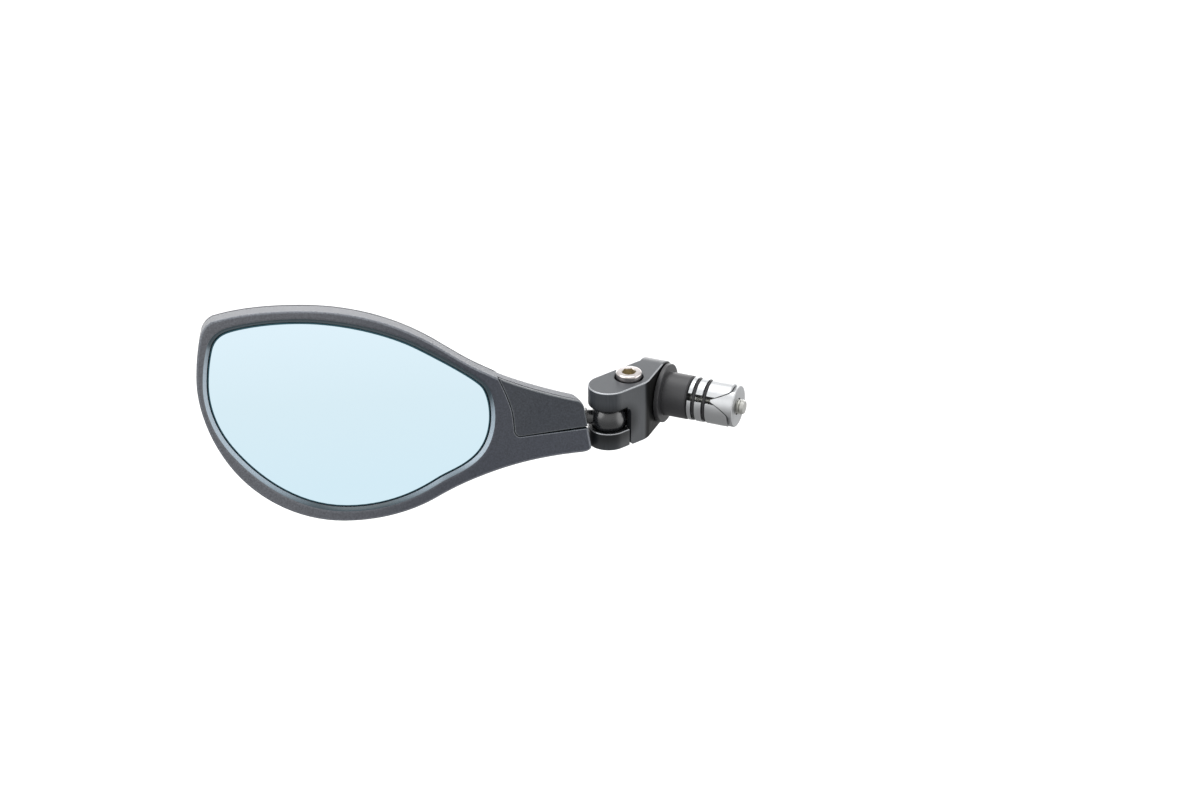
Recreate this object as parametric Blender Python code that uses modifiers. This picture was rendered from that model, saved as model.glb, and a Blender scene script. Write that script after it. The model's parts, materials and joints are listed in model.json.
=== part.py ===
"""Bar-end bicycle mirror: a teardrop head on a clamped ball joint, with a plug that expands in the bar.

The origin is the top of the flange's seat on the handlebar's end face, straight above the bar's axis.
+X runs along the bar into it, +Z is up and -Y points back at the rider. Sizes below are in millimetres and
degrees, measured from the point where the bar's axis meets its end face. Blender's own units are metres.
"""

import math

import bmesh
import bpy
from mathutils import Matrix, Vector
from mathutils.geometry import interpolate_bezier

MM = 0.001
GAP = 0.3  # between neighbours that touch, or screw into each other, on the real mirror
SEAT_ABOVE_AXIS = 10.1
QUARTER_HANDLE = 0.5523  # handle length over radius, for a quarter circle

# Places: the ball's centre, the arm's heading in plan, and how the head sits on the ball.
BALL = Vector((-15.4, -23.8, -1.5))
ARM_HEADING = 62.0
STEM_TO_BALL = Vector((0.8789, 0.4734, -0.0580))
HEAD_UP = Vector((-0.0643, 0.2381, 0.9689))

# Ball stud and its two seats.
BALL_R = 6.9
SEAT_R = BALL_R + GAP
STEM_R = 2.8
SHANK_R = 2.5
SHANK_END = -22.5
COLLAR_R = 3.6
COLLAR_X = (-8.6, -9.2)
UPPER_SEAT_R = 5.7
UPPER_SEAT_Z = (4.3, 6.7)
LOWER_SEAT_R = 5.3
LOWER_SEAT_Z = (-10.6, -6.9)

# Arm: a block as high as its hub, with the ball under its round end.
ARM_HALF_WIDTH = 8.0
ARM_HALF_HEIGHT = 12.4
ARM_FACE_X = -2.2
HUB_OUTER_X = -11.8
BLOCK_RIM_Z = 4.0
LEG_START = 4.6
LEG_CORNER_R = 1.9
CHANNEL_HALF_WIDTH = 5.5
CHANNEL_END = 15.6
EDGE_R = 0.45

# Jaw: a round cup under the ball, and a tongue that the clamp bolt pulls up.
JAW_TOP_Z = -5.1
JAW_BOTTOM_Z = -12.2
JAW_SHOULDER = LEG_START - 0.4
TONGUE_HALF_WIDTH = CHANNEL_HALF_WIDTH - 0.4
TONGUE_END = CHANNEL_END - 0.4

# Screws: M6 in the clamp and the plug, 3 mm screws in the head.
M6_R = 3.0
M6_HEAD_R = 5.0
CLAMP_BOLT_S = 10.2
CLAMP_RECESS_Z = 7.6
CLAMP_RECESS_R = 5.6
CLAMP_WASHER_Z = (7.9, 8.7)
CLAMP_HEAD_Z = (8.9, 14.7)
CLAMP_BOLT_LENGTH = 20.3
COUNTERBORE_X = -5.8
COUNTERBORE_R = 5.9
EXPANDER_WASHER_X = (-7.4, -6.1)
EXPANDER_HEAD_X = (-11.6, -7.6)
EXPANDER_BOLT_LENGTH = 39.2
SMALL_SCREW_R = 1.25
SMALL_HEAD_R = 2.75
SMALL_HEAD_HEIGHT = 1.3
SMALL_HOLE_R = SMALL_SCREW_R + GAP
SMALL_RECESS_R = 3.1
SHELL_SCREW_Z = -7.8
SHELL_SCREW_LENGTH = 6.4
COVER_SCREW_Z = -5.9
COVER_SCREW_LENGTH = 10.2

# Plug in the bar: a flanged collar, three spreading segments and a wedge nut.
FLANGE_R = 11.6
FLANGE_X = -1.9
SPIGOT_R = 8.6
SPIGOT_END_X = 10.0
SEGMENT_R = 8.5
SEGMENT_HALF_ANGLE = 50.0
SEGMENT_START_X = 10.4
SEGMENT_END_X = 27.0
RAMP_START_X = 19.5
RAMP_START_R = 4.6
RAMP_SLOPE = 0.4
RAMP_GAP = 0.35
WEDGE_START_X = 20.0
WEDGE_END_X = 29.0
WEDGE_R = 8.2
BAND_X = (13.0, 17.3)
BAND_R = 7.55
BAND_THICKNESS = 1.2
BAND_GROOVE_R = 5.9

# Head, in its own frame: x towards the ball, y up, z out of the glass.
FRONT_Z = 6.0
FRAME_BACK_Z = -5.0
WEB_FRONT_Z = 1.2
WEB_BACK_Z = -1.0
GLASS_FRONT_Z = 4.4
GLASS_BACK_Z = 2.4
CHAMFER_FOOT_Z = 4.5
CHAMFER_WIDTH = 1.9
SHELL_RIM_Z = FRAME_BACK_Z - GAP
SHELL_LIP = 0.8
SHELL_DEPTH = 3.6
SHELL_WALL = 1.8
NECK_BACK_TOP_Z = -4.0
NECK_BACK_Z = -7.6
END_RELIEF_AT = (-8.5, -2.9, 5.0)
END_HEADING = 102
END_SLOPE = 18.0
COVER_BACK_Z = 3.4
PAD_Z = (1.5, 2.1)
NUT_X = (-21.8, -16.8)
STUD_WASHER_X = (-16.2, -15.1)
NUT_POCKET = ((-23.0, -5.3, -5.3), (-14.6, 5.3, 4.9))
NUT_RELIEF = ((-23.2, -5.5, 0.0), (-14.4, 5.5, 5.0))
HEAD_CENTRE = (-100.0, 2.0)
NECK_CENTRE = (-23.0, -2.0)
SHELL_SCREWS = ((-132.0, 20.0), (-126.0, -17.0), (-60.0, 3.0))
COVER_SCREW = (-30.0, 2.5)

# Outline anchors: x, y, heading, and the length of the handle before and after the point.
OVAL = (
    (-44.3, 16.9, 156, 9.4, 10.5),
    (-65.8, 28.3, 149, 13.0, 15.6),
    (-117.0, 42.2, 180, 21.0, 17.0),
    (-150.4, 38.1, 197, 6.5, 2.3),
    (-155.0, 32.8, 257, 2.3, 6.0),
    (-156.7, 16.0, 270, 6.0, 8.0),
    (-146.2, -15.3, 304, 14.0, 18.0),
    (-101.0, -39.6, 0, 18.0, 16.5),
    (-66.1, -30.6, 31, 7.5, 7.4),
    (-43.4, -19.9, 20, 11.1, 12.7),
)
NECK_TIP = (
    (-10.6, -12.7, 6, 9.8, 1.9),
    (-7.0, -10.2, 102, 1.6, 4.0),
    (-10.1, 4.6, 102, 4.0, 1.8),
    (-13.4, 7.8, 170, 1.8, 6.0),
)
SHELL_OUTLINE = (
    (-44.3, 16.9, 156, 3.5, 10.5),
    *OVAL[1:-1],
    (-43.4, -19.9, 20, 11.1, 3.5),
    (-37.6, -1.5, 91, 10.0, 10.0),
)
GLASS = (
    (-48.4, 12.4, 122, 6.2, 4.0),
    (-73.9, 27.9, 153, 9.0, 12.0),
    (-118.0, 37.7, 180, 15.7, 13.6),
    (-145.5, 34.0, 200, 4.0, 3.5),
    (-151.6, 27.0, 258, 3.5, 4.0),
    (-152.9, 14.0, 270, 5.0, 8.0),
    (-142.5, -12.5, 311, 12.0, 10.0),
    (-100.0, -34.4, 0, 21.0, 19.0),
    (-65.0, -23.2, 32, 5.0, 6.0),
    (-48.0, -10.0, 63, 8.5, 8.0),
)
NECK_BACK = (
    (-14.2, 7.0, 170, 1.8, 6.0),
    (-31.0, 11.4, 166, 6.0, 3.0),
    (-36.2, 6.5, 265, 3.0, 5.0),
    (-36.2, -11.0, 272, 5.0, 3.0),
    (-31.0, -15.4, 12, 3.0, 6.0),
    (-12.6, -12.0, 6, 6.0, 1.8),
    (-9.6, -9.2, 98, 1.8, 4.0),
    (-11.4, 4.2, 98, 4.0, 1.8),
)


# Small tools


def clear_scene():
    for obj in list(bpy.data.objects):
        bpy.data.objects.remove(obj, do_unlink=True)


def new_collection(name):
    made = bpy.data.collections.new(name)
    bpy.context.scene.collection.children.link(made)
    return made


def material(name, colour, roughness, metallic=0.0):
    made = bpy.data.materials.new(name)
    made.use_nodes = True
    shader = made.node_tree.nodes["Principled BSDF"]
    shader.inputs["Base Color"].default_value = (*colour, 1.0)
    shader.inputs["Roughness"].default_value = roughness
    shader.inputs["Metallic"].default_value = metallic
    return made


def new_home(name, matrix):
    """An empty that a group of pieces hangs on, so that their origins lie on its joint."""
    home = bpy.data.objects.new(name, None)
    home.matrix_world = Matrix.Translation((0, 0, -SEAT_ABOVE_AXIS * MM)) @ matrix
    PARTS.objects.link(home)
    return home


def add(name, mesh, home, finish=None):
    """Puts a mesh on its home: a part when it has a finish, otherwise a cutter or a piece to join."""
    obj = bpy.data.objects.new(name, mesh)
    obj.parent = home
    if finish is None:
        obj.hide_render = True
        obj.display_type = "WIRE"
        CUTTERS.objects.link(obj)
    else:
        mesh.materials.clear()
        mesh.materials.append(finish)
        mesh.shade_smooth()
        mesh.set_sharp_from_angle(angle=math.radians(35))
        PARTS.objects.link(obj)
    return obj


def combine(obj, other, operation):
    modifier = obj.modifiers.new(other.name, "BOOLEAN")
    modifier.operation = operation
    modifier.object = other


def cut(obj, *cutters):
    for cutter in cutters:
        combine(obj, cutter, "DIFFERENCE")


def join(obj, *others):
    for other in others:
        combine(obj, other, "UNION")


def soften(obj, width, segments=2, angle=40):
    """Rounds the edges that turn by more than the angle."""
    modifier = obj.modifiers.new("soft_edges", "BEVEL")
    modifier.width = width * MM
    modifier.segments = segments
    modifier.limit_method = "ANGLE"
    modifier.angle_limit = math.radians(angle)


# Shapes

UPRIGHT = Matrix()
ALONG_X = Matrix.Rotation(math.radians(90), 4, "Y")


def cone(name, radii, span, home, finish=None, sides=32, axis=UPRIGHT, at=(0, 0, 0), turn=0):
    """A cone or cylinder about the axis through a point, from the first to the second place of its span."""
    low, high = span
    mesh = bpy.data.meshes.new(name)
    shape = bmesh.new()
    bmesh.ops.create_cone(
        shape, cap_ends=True, segments=sides, radius1=radii[0], radius2=radii[1], depth=high - low
    )
    own = Matrix.Translation((0, 0, (low + high) / 2)) @ Matrix.Rotation(math.radians(turn), 4, "Z")
    shape.transform(Matrix.Scale(MM, 4) @ Matrix.Translation(at) @ axis @ own)
    shape.to_mesh(mesh)
    shape.free()
    return add(name, mesh, home, finish)


def cylinder(name, radius, span, home, finish=None, **more):
    return cone(name, (radius, radius), span, home, finish, **more)


def box(name, low, high, home, finish=None):
    mesh = bpy.data.meshes.new(name)
    shape = bmesh.new()
    bmesh.ops.create_cube(shape, size=1)
    size = Vector(high) - Vector(low)
    middle = (Vector(high) + Vector(low)) / 2
    shape.transform(Matrix.Scale(MM, 4) @ Matrix.Translation(middle) @ Matrix.Diagonal((*size, 1)))
    shape.to_mesh(mesh)
    shape.free()
    return add(name, mesh, home, finish)


def sphere(name, radius, centre, home, finish=None):
    mesh = bpy.data.meshes.new(name)
    shape = bmesh.new()
    bmesh.ops.create_uvsphere(shape, u_segments=32, v_segments=16, radius=radius)
    shape.transform(Matrix.Scale(MM, 4) @ Matrix.Translation(centre))
    shape.to_mesh(mesh)
    shape.free()
    return add(name, mesh, home, finish)


def turned(name, profile, home, finish=None, closed=False, sides=40):
    """Turns a profile of (radius, height) points, top to bottom, about the z axis."""
    points = [Vector((radius, 0, height)) * MM for radius, height in profile]
    edges = [(i, i + 1) for i in range(len(points) - 1)]
    if closed:
        edges.append((len(points) - 1, 0))
    mesh = bpy.data.meshes.new(name)
    mesh.from_pydata(points, edges, [])
    obj = add(name, mesh, home, finish)
    screw = obj.modifiers.new("turn", "SCREW")
    screw.axis = "Z"
    screw.steps = sides
    screw.render_steps = sides
    screw.use_merge_vertices = True
    screw.merge_threshold = 0.00001
    return obj


def arc(radius, start, end, steps, centre=0.0):
    """Points (radius, height) on a circle about a point of the axis; 90 degrees is its top."""
    angles = [math.radians(start + (end - start) * i / steps) for i in range(steps + 1)]
    return [(radius * math.cos(a), centre + radius * math.sin(a)) for a in angles]


def handles(anchor):
    """An anchor's point and the ends of its two handles."""
    x, y, heading, before, after = anchor
    along = Vector((math.cos(math.radians(heading)), math.sin(math.radians(heading)), 0))
    point = Vector((x, y, 0))
    return point - along * before, point, point + along * after


def plate(name, outline, low, high, home, finish=None, resolution=5, scale=1.0, centre=(0, 0)):
    """A flat plate with a smooth outline, made as a filled curve and turned into a welded mesh."""
    curve = bpy.data.curves.new(name + "_outline", "CURVE")
    curve.dimensions = "2D"
    curve.fill_mode = "BOTH"
    curve.extrude = (high - low) / 2 * MM
    curve.resolution_u = resolution
    spline = curve.splines.new("BEZIER")
    spline.bezier_points.add(len(outline) - 1)
    spline.use_cyclic_u = True
    middle = Vector((*centre, 0))
    for knot, anchor in zip(spline.bezier_points, outline):
        before, point, after = ((middle + (p - middle) * scale) * MM for p in handles(anchor))
        knot.handle_left_type = knot.handle_right_type = "FREE"
        knot.co = point
        knot.handle_left = before
        knot.handle_right = after
    guide = bpy.data.objects.new(name + "_outline", curve)
    CUTTERS.objects.link(guide)
    bpy.context.view_layer.update()
    mesh = bpy.data.meshes.new_from_object(guide.evaluated_get(bpy.context.evaluated_depsgraph_get()))
    bpy.data.objects.remove(guide)
    shape = bmesh.new()
    shape.from_mesh(mesh)
    bmesh.ops.remove_doubles(shape, verts=shape.verts, dist=0.000001)
    bmesh.ops.dissolve_limit(shape, angle_limit=math.radians(0.3), verts=shape.verts, edges=shape.edges)
    bmesh.ops.recalc_face_normals(shape, faces=shape.faces)
    bmesh.ops.translate(shape, verts=shape.verts, vec=(0, 0, (low + high) / 2 * MM))
    shape.to_mesh(mesh)
    shape.free()
    mesh.name = name
    return add(name, mesh, home, finish)


def outline_points(outline, steps=5):
    """Points along a closed outline, each stretch in equal steps."""
    points = []
    for here, following in zip(outline, outline[1:] + outline[:1]):
        _, start, leaving = handles(here)
        arriving, end, _ = handles(following)
        points += interpolate_bezier(start, leaving, arriving, end, steps + 1)[:-1]
    return [Vector(point) for point in points]


def grown(points, distance):
    """An outline moved outwards by a distance, along its normals."""
    moved = []
    for before, here, after in zip(points[-1:] + points[:-1], points, points[1:] + points[:1]):
        along = (after - before).normalized()
        moved.append(here + Vector((along.y, -along.x, 0)) * distance)
    return moved


def loft(name, rings, home, finish=None, caps=(True, True)):
    """Joins rings of equally many points, lowest first, each running anticlockwise from above."""
    mesh = bpy.data.meshes.new(name)
    shape = bmesh.new()
    rows = [[shape.verts.new(point * MM) for point in ring] for ring in rings]
    for lower, upper in zip(rows, rows[1:]):
        for i in range(len(lower)):
            shape.faces.new((lower[i - 1], lower[i], upper[i], upper[i - 1]))
    if caps[0]:
        shape.faces.new(rows[0][::-1])
    if caps[1]:
        shape.faces.new(rows[-1])
    shape.to_mesh(mesh)
    shape.free()
    return add(name, mesh, home, finish)


def dome_rings(outline, centre, top_z, depth, fullness, turns):
    """Rings of a shallow dome that hangs below its outline, deepest ring first."""
    middle = Vector((*centre, 0))
    rings = []
    for turn in reversed(turns):
        size = math.cos(math.radians(turn)) ** fullness
        drop = Vector((0, 0, top_z - depth * math.sin(math.radians(turn))))
        rings.append([middle + (point - middle) * size + drop for point in outline])
    return rings


# Fasteners


def socket_screw(name, head, shank, key, place, home, finish):
    """A socket-head screw. Its head's underside lies at the place, with the head up and the shank down.

    The head and the shank are each given as (radius, length).
    """
    head_r, top = head
    shank_r, length = shank
    edge = 0.12 * head_r
    tip = 0.5
    profile = [(0, top), (head_r - edge, top), (head_r, top - edge), (head_r, 0), (shank_r, 0)]
    profile += [(shank_r, tip - length), (shank_r - tip, -length), (0, -length)]
    screw = turned(name, profile, home, finish, sides=32 if shank_r > 2 else 16)
    socket = cylinder(name + "_socket", key / math.sqrt(3), (0.4 * top, top + 1), home, sides=6)
    for obj in (screw, socket):
        obj.matrix_local = place
    cut(screw, socket)


def small_screw(name, length, at, home):
    """A 2.5 mm screw with its head to the back and its shank pointing to the front."""
    place = Matrix.Translation(Vector(at) * MM) @ Matrix.Rotation(math.radians(180), 4, "X")
    head = (SMALL_HEAD_R, SMALL_HEAD_HEIGHT)
    socket_screw(name, head, (SMALL_SCREW_R, length), 2.0, place, home, STEEL)


def washer(name, inner, outer, span, home, finish, axis=UPRIGHT, at=(0, 0, 0)):
    low, high = span
    profile = [(inner, high), (outer, high), (outer, low), (inner, low)]
    ring = turned(name, profile, home, finish, closed=True, sides=24)
    ring.matrix_local = Matrix.Translation(Vector(at) * MM) @ axis
    return ring


# Head


def cover_outline(room=0.0):
    """The neck cover's edge. Room widens it past the parting line, and well past the head's outer edge."""
    past = 12 * room
    return (
        (-8.6 + past, -2.4 - room, 102, 0, 2.5),
        (-10.1 + past, 4.6 + past, 102, 2.5, 1.8),
        (-13.4 + past, 7.8 + past, 170, 1.8, 6.0),
        (-43.2 - room, 16.4 + past, 156, 9.0, 0),
        (-43.2 - room, 16.4, 156, 0, 0),
        (-37.3 - room, 1.6, 278, 5.0, 1.5),
        (-36.7 - room, -3.6, 272, 2.0, 1.5),
        (-34.2, -6.3 - room, 9, 1.5, 3.0),
    )


def end_relief(home):
    """A cutter that slopes the neck's end back behind its front edge, to clear the arm's round end."""
    relief = box("end_relief", (0, -30, -30), (30, 30, 10), home)
    at = Matrix.Translation(Vector(END_RELIEF_AT) * MM)
    heading = Matrix.Rotation(math.radians(END_HEADING - 90), 4, "Z")
    relief.matrix_local = at @ heading @ Matrix.Rotation(math.radians(END_SLOPE), 4, "Y")
    return relief


def make_frame(home, finish):
    """The front of the housing: rim, side wall and web, with a solid neck that holds the stud."""
    frame = plate("head_frame", OVAL + NECK_TIP, FRAME_BACK_Z, FRONT_Z, home, finish)
    soften(frame, 0.7, angle=60)
    hollow = plate("rear_hollow", SHELL_OUTLINE, -8, WEB_BACK_Z, home, scale=0.95, centre=HEAD_CENTRE)
    glass_edge = outline_points(GLASS)
    up = Vector((0, 0, 1))
    pocket_rings = [[p + up * WEB_FRONT_Z for p in glass_edge], [p + up * CHAMFER_FOOT_Z for p in glass_edge]]
    rise = FRONT_Z - CHAMFER_FOOT_Z
    over = 0.5
    chamfer_top = grown(glass_edge, CHAMFER_WIDTH * (rise + over) / rise)
    pocket_rings.append([p + up * (FRONT_Z + over) for p in chamfer_top])
    pocket = loft("glass_pocket", pocket_rings, home)
    neck_edge = outline_points(NECK_BACK, 4)
    neck_depth = NECK_BACK_TOP_Z - NECK_BACK_Z
    neck_rings = dome_rings(neck_edge, NECK_CENTRE, NECK_BACK_TOP_Z, neck_depth, 0.22, (0, 30, 50, 65, 78))
    neck_back = loft("neck_back", neck_rings, home)
    cut(frame, hollow, pocket)
    join(frame, neck_back)
    cut(frame, end_relief(home))
    for number, (x, y) in enumerate(SHELL_SCREWS, 1):
        at = (x, y, 0)
        join(frame, cylinder(f"frame_boss_{number}", 3.4, (FRAME_BACK_Z, 0), home, sides=20, at=at))
        cut(frame, cylinder(f"frame_boss_hole_{number}", SMALL_HOLE_R, (-8, -0.4), home, sides=12, at=at))
    cut(frame, plate("cover_recess", cover_outline(GAP), COVER_BACK_Z - 0.35, 8, home))
    cut(frame, box("nut_pocket", *NUT_POCKET, home))
    cut(frame, cylinder("stud_hole", SHANK_R + GAP, (-16, -5), home, axis=ALONG_X, sides=24))
    at = (*COVER_SCREW, 0)
    cut(frame, cylinder("cover_boss_room", 3.6, (-1.4, 8), home, sides=20, at=at))
    cut(frame, cylinder("cover_screw_hole", 1.6, (-10, 0), home, sides=16, at=at))
    recess = (-10, COVER_SCREW_Z + GAP)
    cut(frame, cylinder("cover_screw_recess", SMALL_RECESS_R, recess, home, sides=20, at=at))


def make_shell(home, finish):
    """The domed rear cover, an open surface with a wall, and three screw bosses."""
    edge = outline_points(SHELL_OUTLINE)
    turns = (0, 18, 36, 54, 70, 80)
    rings = dome_rings(edge, HEAD_CENTRE, SHELL_RIM_Z - SHELL_LIP, SHELL_DEPTH, 0.42, turns)
    rings.append([point + Vector((0, 0, SHELL_RIM_Z)) for point in edge])
    shell = loft("head_shell", rings, home, finish, caps=(True, False))
    wall = shell.modifiers.new("wall", "SOLIDIFY")
    wall.thickness = SHELL_WALL * MM
    wall.offset = -1
    recess = (-12, SHELL_SCREW_Z + GAP)
    for number, (x, y) in enumerate(SHELL_SCREWS, 1):
        at = (x, y, 0)
        join(shell, cylinder(f"shell_boss_{number}", 4.2, (-8.6, SHELL_RIM_Z), home, sides=24, at=at))
        cut(shell, cylinder(f"shell_hole_{number}", 1.6, (-12, -4), home, sides=16, at=at))
        cut(shell, cylinder(f"shell_recess_{number}", SMALL_RECESS_R, recess, home, sides=20, at=at))
        small_screw(f"shell_screw_{number}", SHELL_SCREW_LENGTH, (x, y, SHELL_SCREW_Z), home)


def make_neck_cover(home, finish):
    cover = plate("neck_cover", cover_outline(), COVER_BACK_Z, FRONT_Z, home, finish)
    soften(cover, 0.35, angle=60)
    at = (*COVER_SCREW, 0)
    join(cover, cylinder("cover_boss", 3.2, (-1.0, 4.5), home, sides=20, at=at))
    cut(cover, cylinder("cover_boss_hole", SMALL_HOLE_R, (-3, 4.9), home, sides=12, at=at))
    cut(cover, box("nut_relief", *NUT_RELIEF, home))
    cut(cover, end_relief(home))
    small_screw("neck_cover_screw", COVER_SCREW_LENGTH, (*COVER_SCREW, COVER_SCREW_Z), home)


def make_glass(home):
    plate("mirror_glass", GLASS, GLASS_BACK_Z, GLASS_FRONT_Z, home, MIRROR, scale=0.993, centre=HEAD_CENTRE)
    plate("glass_pad", GLASS, *PAD_Z, home, FOAM, resolution=4, scale=0.94, centre=HEAD_CENTRE)


def make_stud_nut(home, finish):
    across_flats = 8.0
    nut = cylinder("stud_nut", across_flats / math.sqrt(3), NUT_X, home, finish, sides=6, axis=ALONG_X)
    cut(nut, cylinder("stud_nut_hole", SHANK_R + GAP, (-24, -14), home, axis=ALONG_X, sides=24))
    washer("stud_washer", SHANK_R + GAP, 4.7, STUD_WASHER_X, home, STEEL, axis=ALONG_X)


# Ball joint and arm


def make_ball_stud(home, finish):
    """Ball, stem, collar and threaded shank, turned about the head's x axis."""
    join_angle = math.degrees(math.asin(STEM_R / BALL_R))
    profile = arc(BALL_R, 90, -90 + join_angle, 13)
    front, back = COLLAR_X
    tip = 0.5
    profile += [(STEM_R, front), (COLLAR_R, front), (COLLAR_R, back), (SHANK_R, back)]
    profile += [(SHANK_R, SHANK_END + tip), (SHANK_R - tip, SHANK_END), (0, SHANK_END)]
    stud = turned("ball_stud", profile, home, finish, sides=28)
    stud.matrix_local = ALONG_X


def make_upper_seat(home, finish):
    """A cup in the block's underside; it turns about the vertical with the ball."""
    low, high = (z - BALL.z for z in UPPER_SEAT_Z)
    rim = math.degrees(math.asin(low / SEAT_R))
    socket = arc(SEAT_R, rim, 90, 6)
    outside = [(0, high), (UPPER_SEAT_R, high), (UPPER_SEAT_R, low)]
    turned("upper_ball_seat", outside + socket, home, finish, sides=32)


def make_arm(plan, finish):
    """A block from over the ball to the bar's axis, where its top and bottom run into the round hub."""
    u = Vector((math.cos(math.radians(ARM_HEADING)), math.sin(math.radians(ARM_HEADING))))
    side = Vector((-u.y, u.x)) * ARM_HALF_WIDTH
    tip = BALL.to_2d()
    left, end, right = tip + side, tip - u * ARM_HALF_WIDTH, tip - side
    bend = ARM_HALF_WIDTH * QUARTER_HANDLE
    beyond = 6.0
    to_face = right + u * ((ARM_FACE_X - right.x) / u.x)
    to_hub = left + u * ((beyond - left.y) / u.y)
    fillet = 1.8
    reach = 1.1
    outline = (
        (*left, ARM_HEADING + 180, 0, bend),
        (*end, ARM_HEADING + 270, bend, bend),
        (*right, ARM_HEADING, bend, 0),
        (*(to_face - u * fillet), ARM_HEADING, 0, reach),
        (ARM_FACE_X, to_face.y + fillet, 90, reach, 0),
        (ARM_FACE_X, beyond, 90, 0, 0),
        (*to_hub, 180, 0, 0),
    )
    arm = plate("knuckle_arm", outline, -ARM_HALF_HEIGHT, ARM_HALF_HEIGHT, BAR, finish, resolution=8)
    soften(arm, EDGE_R)
    cut(arm, box("beyond_axis", (-40, 0, -20), (20, 20, 20), BAR))
    hub = cylinder("hub", ARM_HALF_HEIGHT, (HUB_OUTER_X, ARM_FACE_X), BAR, axis=ALONG_X, sides=56)
    soften(hub, EDGE_R)
    join(arm, hub)
    wide = ARM_HALF_WIDTH + 2
    opening = box("jaw_room", (-wide, -wide, -15), (LEG_START, wide, BLOCK_RIM_Z), plan)
    soften(opening, 1.2)
    half = CHANNEL_HALF_WIDTH
    channel = box("tongue_channel", (0, -half, -15), (CHANNEL_END, half, BLOCK_RIM_Z), plan)
    round_r = LEG_CORNER_R
    low = -ARM_HALF_HEIGHT
    out = 3.0
    outline = (
        (LEG_START - out, low - out, 0, 0, 0),
        (LEG_START + round_r, low - out, 90, 0, 0),
        (LEG_START + round_r, low, 180, 0, round_r * QUARTER_HANDLE),
        (LEG_START, low + round_r, 90, round_r * QUARTER_HANDLE, 0),
        (LEG_START - out, low + round_r, 270, 0, 0),
    )
    corner = plate("leg_corner", outline, -wide, wide, plan)
    corner.matrix_local = Matrix.Rotation(math.radians(90), 4, "X")
    cut(arm, opening, channel, corner)
    cut(arm, cylinder("upper_seat_room", UPPER_SEAT_R + GAP, (2, 7.0), plan, sides=40))
    at_bolt = (CLAMP_BOLT_S, 0, 0)
    cut(arm, cylinder("clamp_bolt_hole", M6_R + 0.4, (0, 15), plan, at=at_bolt))
    cut(arm, cylinder("clamp_recess", CLAMP_RECESS_R, (CLAMP_RECESS_Z, 16), plan, at=at_bolt, sides=40))
    cut(arm, cylinder("expander_bolt_hole", M6_R + 0.4, (-20, 5), BAR, axis=ALONG_X))
    cut(arm, cylinder("counterbore", COUNTERBORE_R, (-40, COUNTERBORE_X), BAR, axis=ALONG_X, sides=40))
    washer("clamp_washer", M6_R + GAP, 5.2, CLAMP_WASHER_Z, plan, STEEL, at=at_bolt)
    washer("expander_washer", M6_R + GAP, 5.5, EXPANDER_WASHER_X, BAR, STEEL, axis=ALONG_X)


def make_jaw(plan, finish):
    bend = ARM_HALF_WIDTH * QUARTER_HANDLE
    wide, narrow = ARM_HALF_WIDTH, TONGUE_HALF_WIDTH
    outline = (
        (0, wide, 180, 0, bend),
        (-wide, 0, 270, bend, bend),
        (0, -wide, 0, bend, 0),
        (JAW_SHOULDER, -wide, 0, 0, 0),
        (JAW_SHOULDER, -narrow, 90, 0, 0),
        (TONGUE_END, -narrow, 0, 0, 0),
        (TONGUE_END, narrow, 90, 0, 0),
        (JAW_SHOULDER, narrow, 180, 0, 0),
        (JAW_SHOULDER, wide, 90, 0, 0),
    )
    jaw = plate("clamp_jaw", outline, JAW_BOTTOM_Z, JAW_TOP_Z, plan, finish, resolution=8)
    soften(jaw, 0.4, angle=60)
    cut(jaw, sphere("jaw_socket", SEAT_R, (0, 0, BALL.z), plan))
    cut(jaw, cylinder("lower_seat_room", LOWER_SEAT_R + GAP, (-10.9, -6), plan, sides=32))
    cut(jaw, cylinder("jaw_thread", M6_R + GAP, (-15, 0), plan, at=(CLAMP_BOLT_S, 0, 0), sides=32))


def make_lower_seat(plan, finish):
    low, high = LOWER_SEAT_Z
    rim = math.degrees(math.asin((high - BALL.z) / SEAT_R))
    socket = arc(SEAT_R, -90, rim, 6, centre=BALL.z)
    outside = [(LOWER_SEAT_R, high), (LOWER_SEAT_R, low), (0, low)]
    turned("lower_ball_seat", socket + outside, plan, finish, sides=32)


def make_clamp_bolt(home, finish):
    bottom, top = CLAMP_HEAD_Z
    place = Matrix.Translation((0, 0, bottom * MM))
    head = (M6_HEAD_R, top - bottom)
    socket_screw("clamp_bolt", head, (M6_R, CLAMP_BOLT_LENGTH), 5.0, place, home, finish)


# Plug


def make_plug(finish):
    profile = [(M6_R + 0.4, SPIGOT_END_X), (SPIGOT_R - 0.6, SPIGOT_END_X), (SPIGOT_R, SPIGOT_END_X - 0.6)]
    profile += [(SPIGOT_R, 0), (FLANGE_R, 0), (FLANGE_R, FLANGE_X), (M6_R + 0.4, FLANGE_X)]
    collar = turned("plug_collar", profile, BAR, finish, closed=True, sides=48)
    collar.matrix_local = ALONG_X


def three_flats(name, distances, span, home, finish=None):
    """A three-sided wedge along X, with one flat facing up, given how far its flats are from the axis."""
    radii = [2 * distance for distance in distances]
    return cone(name, radii, span, home, finish, sides=3, axis=ALONG_X, turn=-90)


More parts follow.
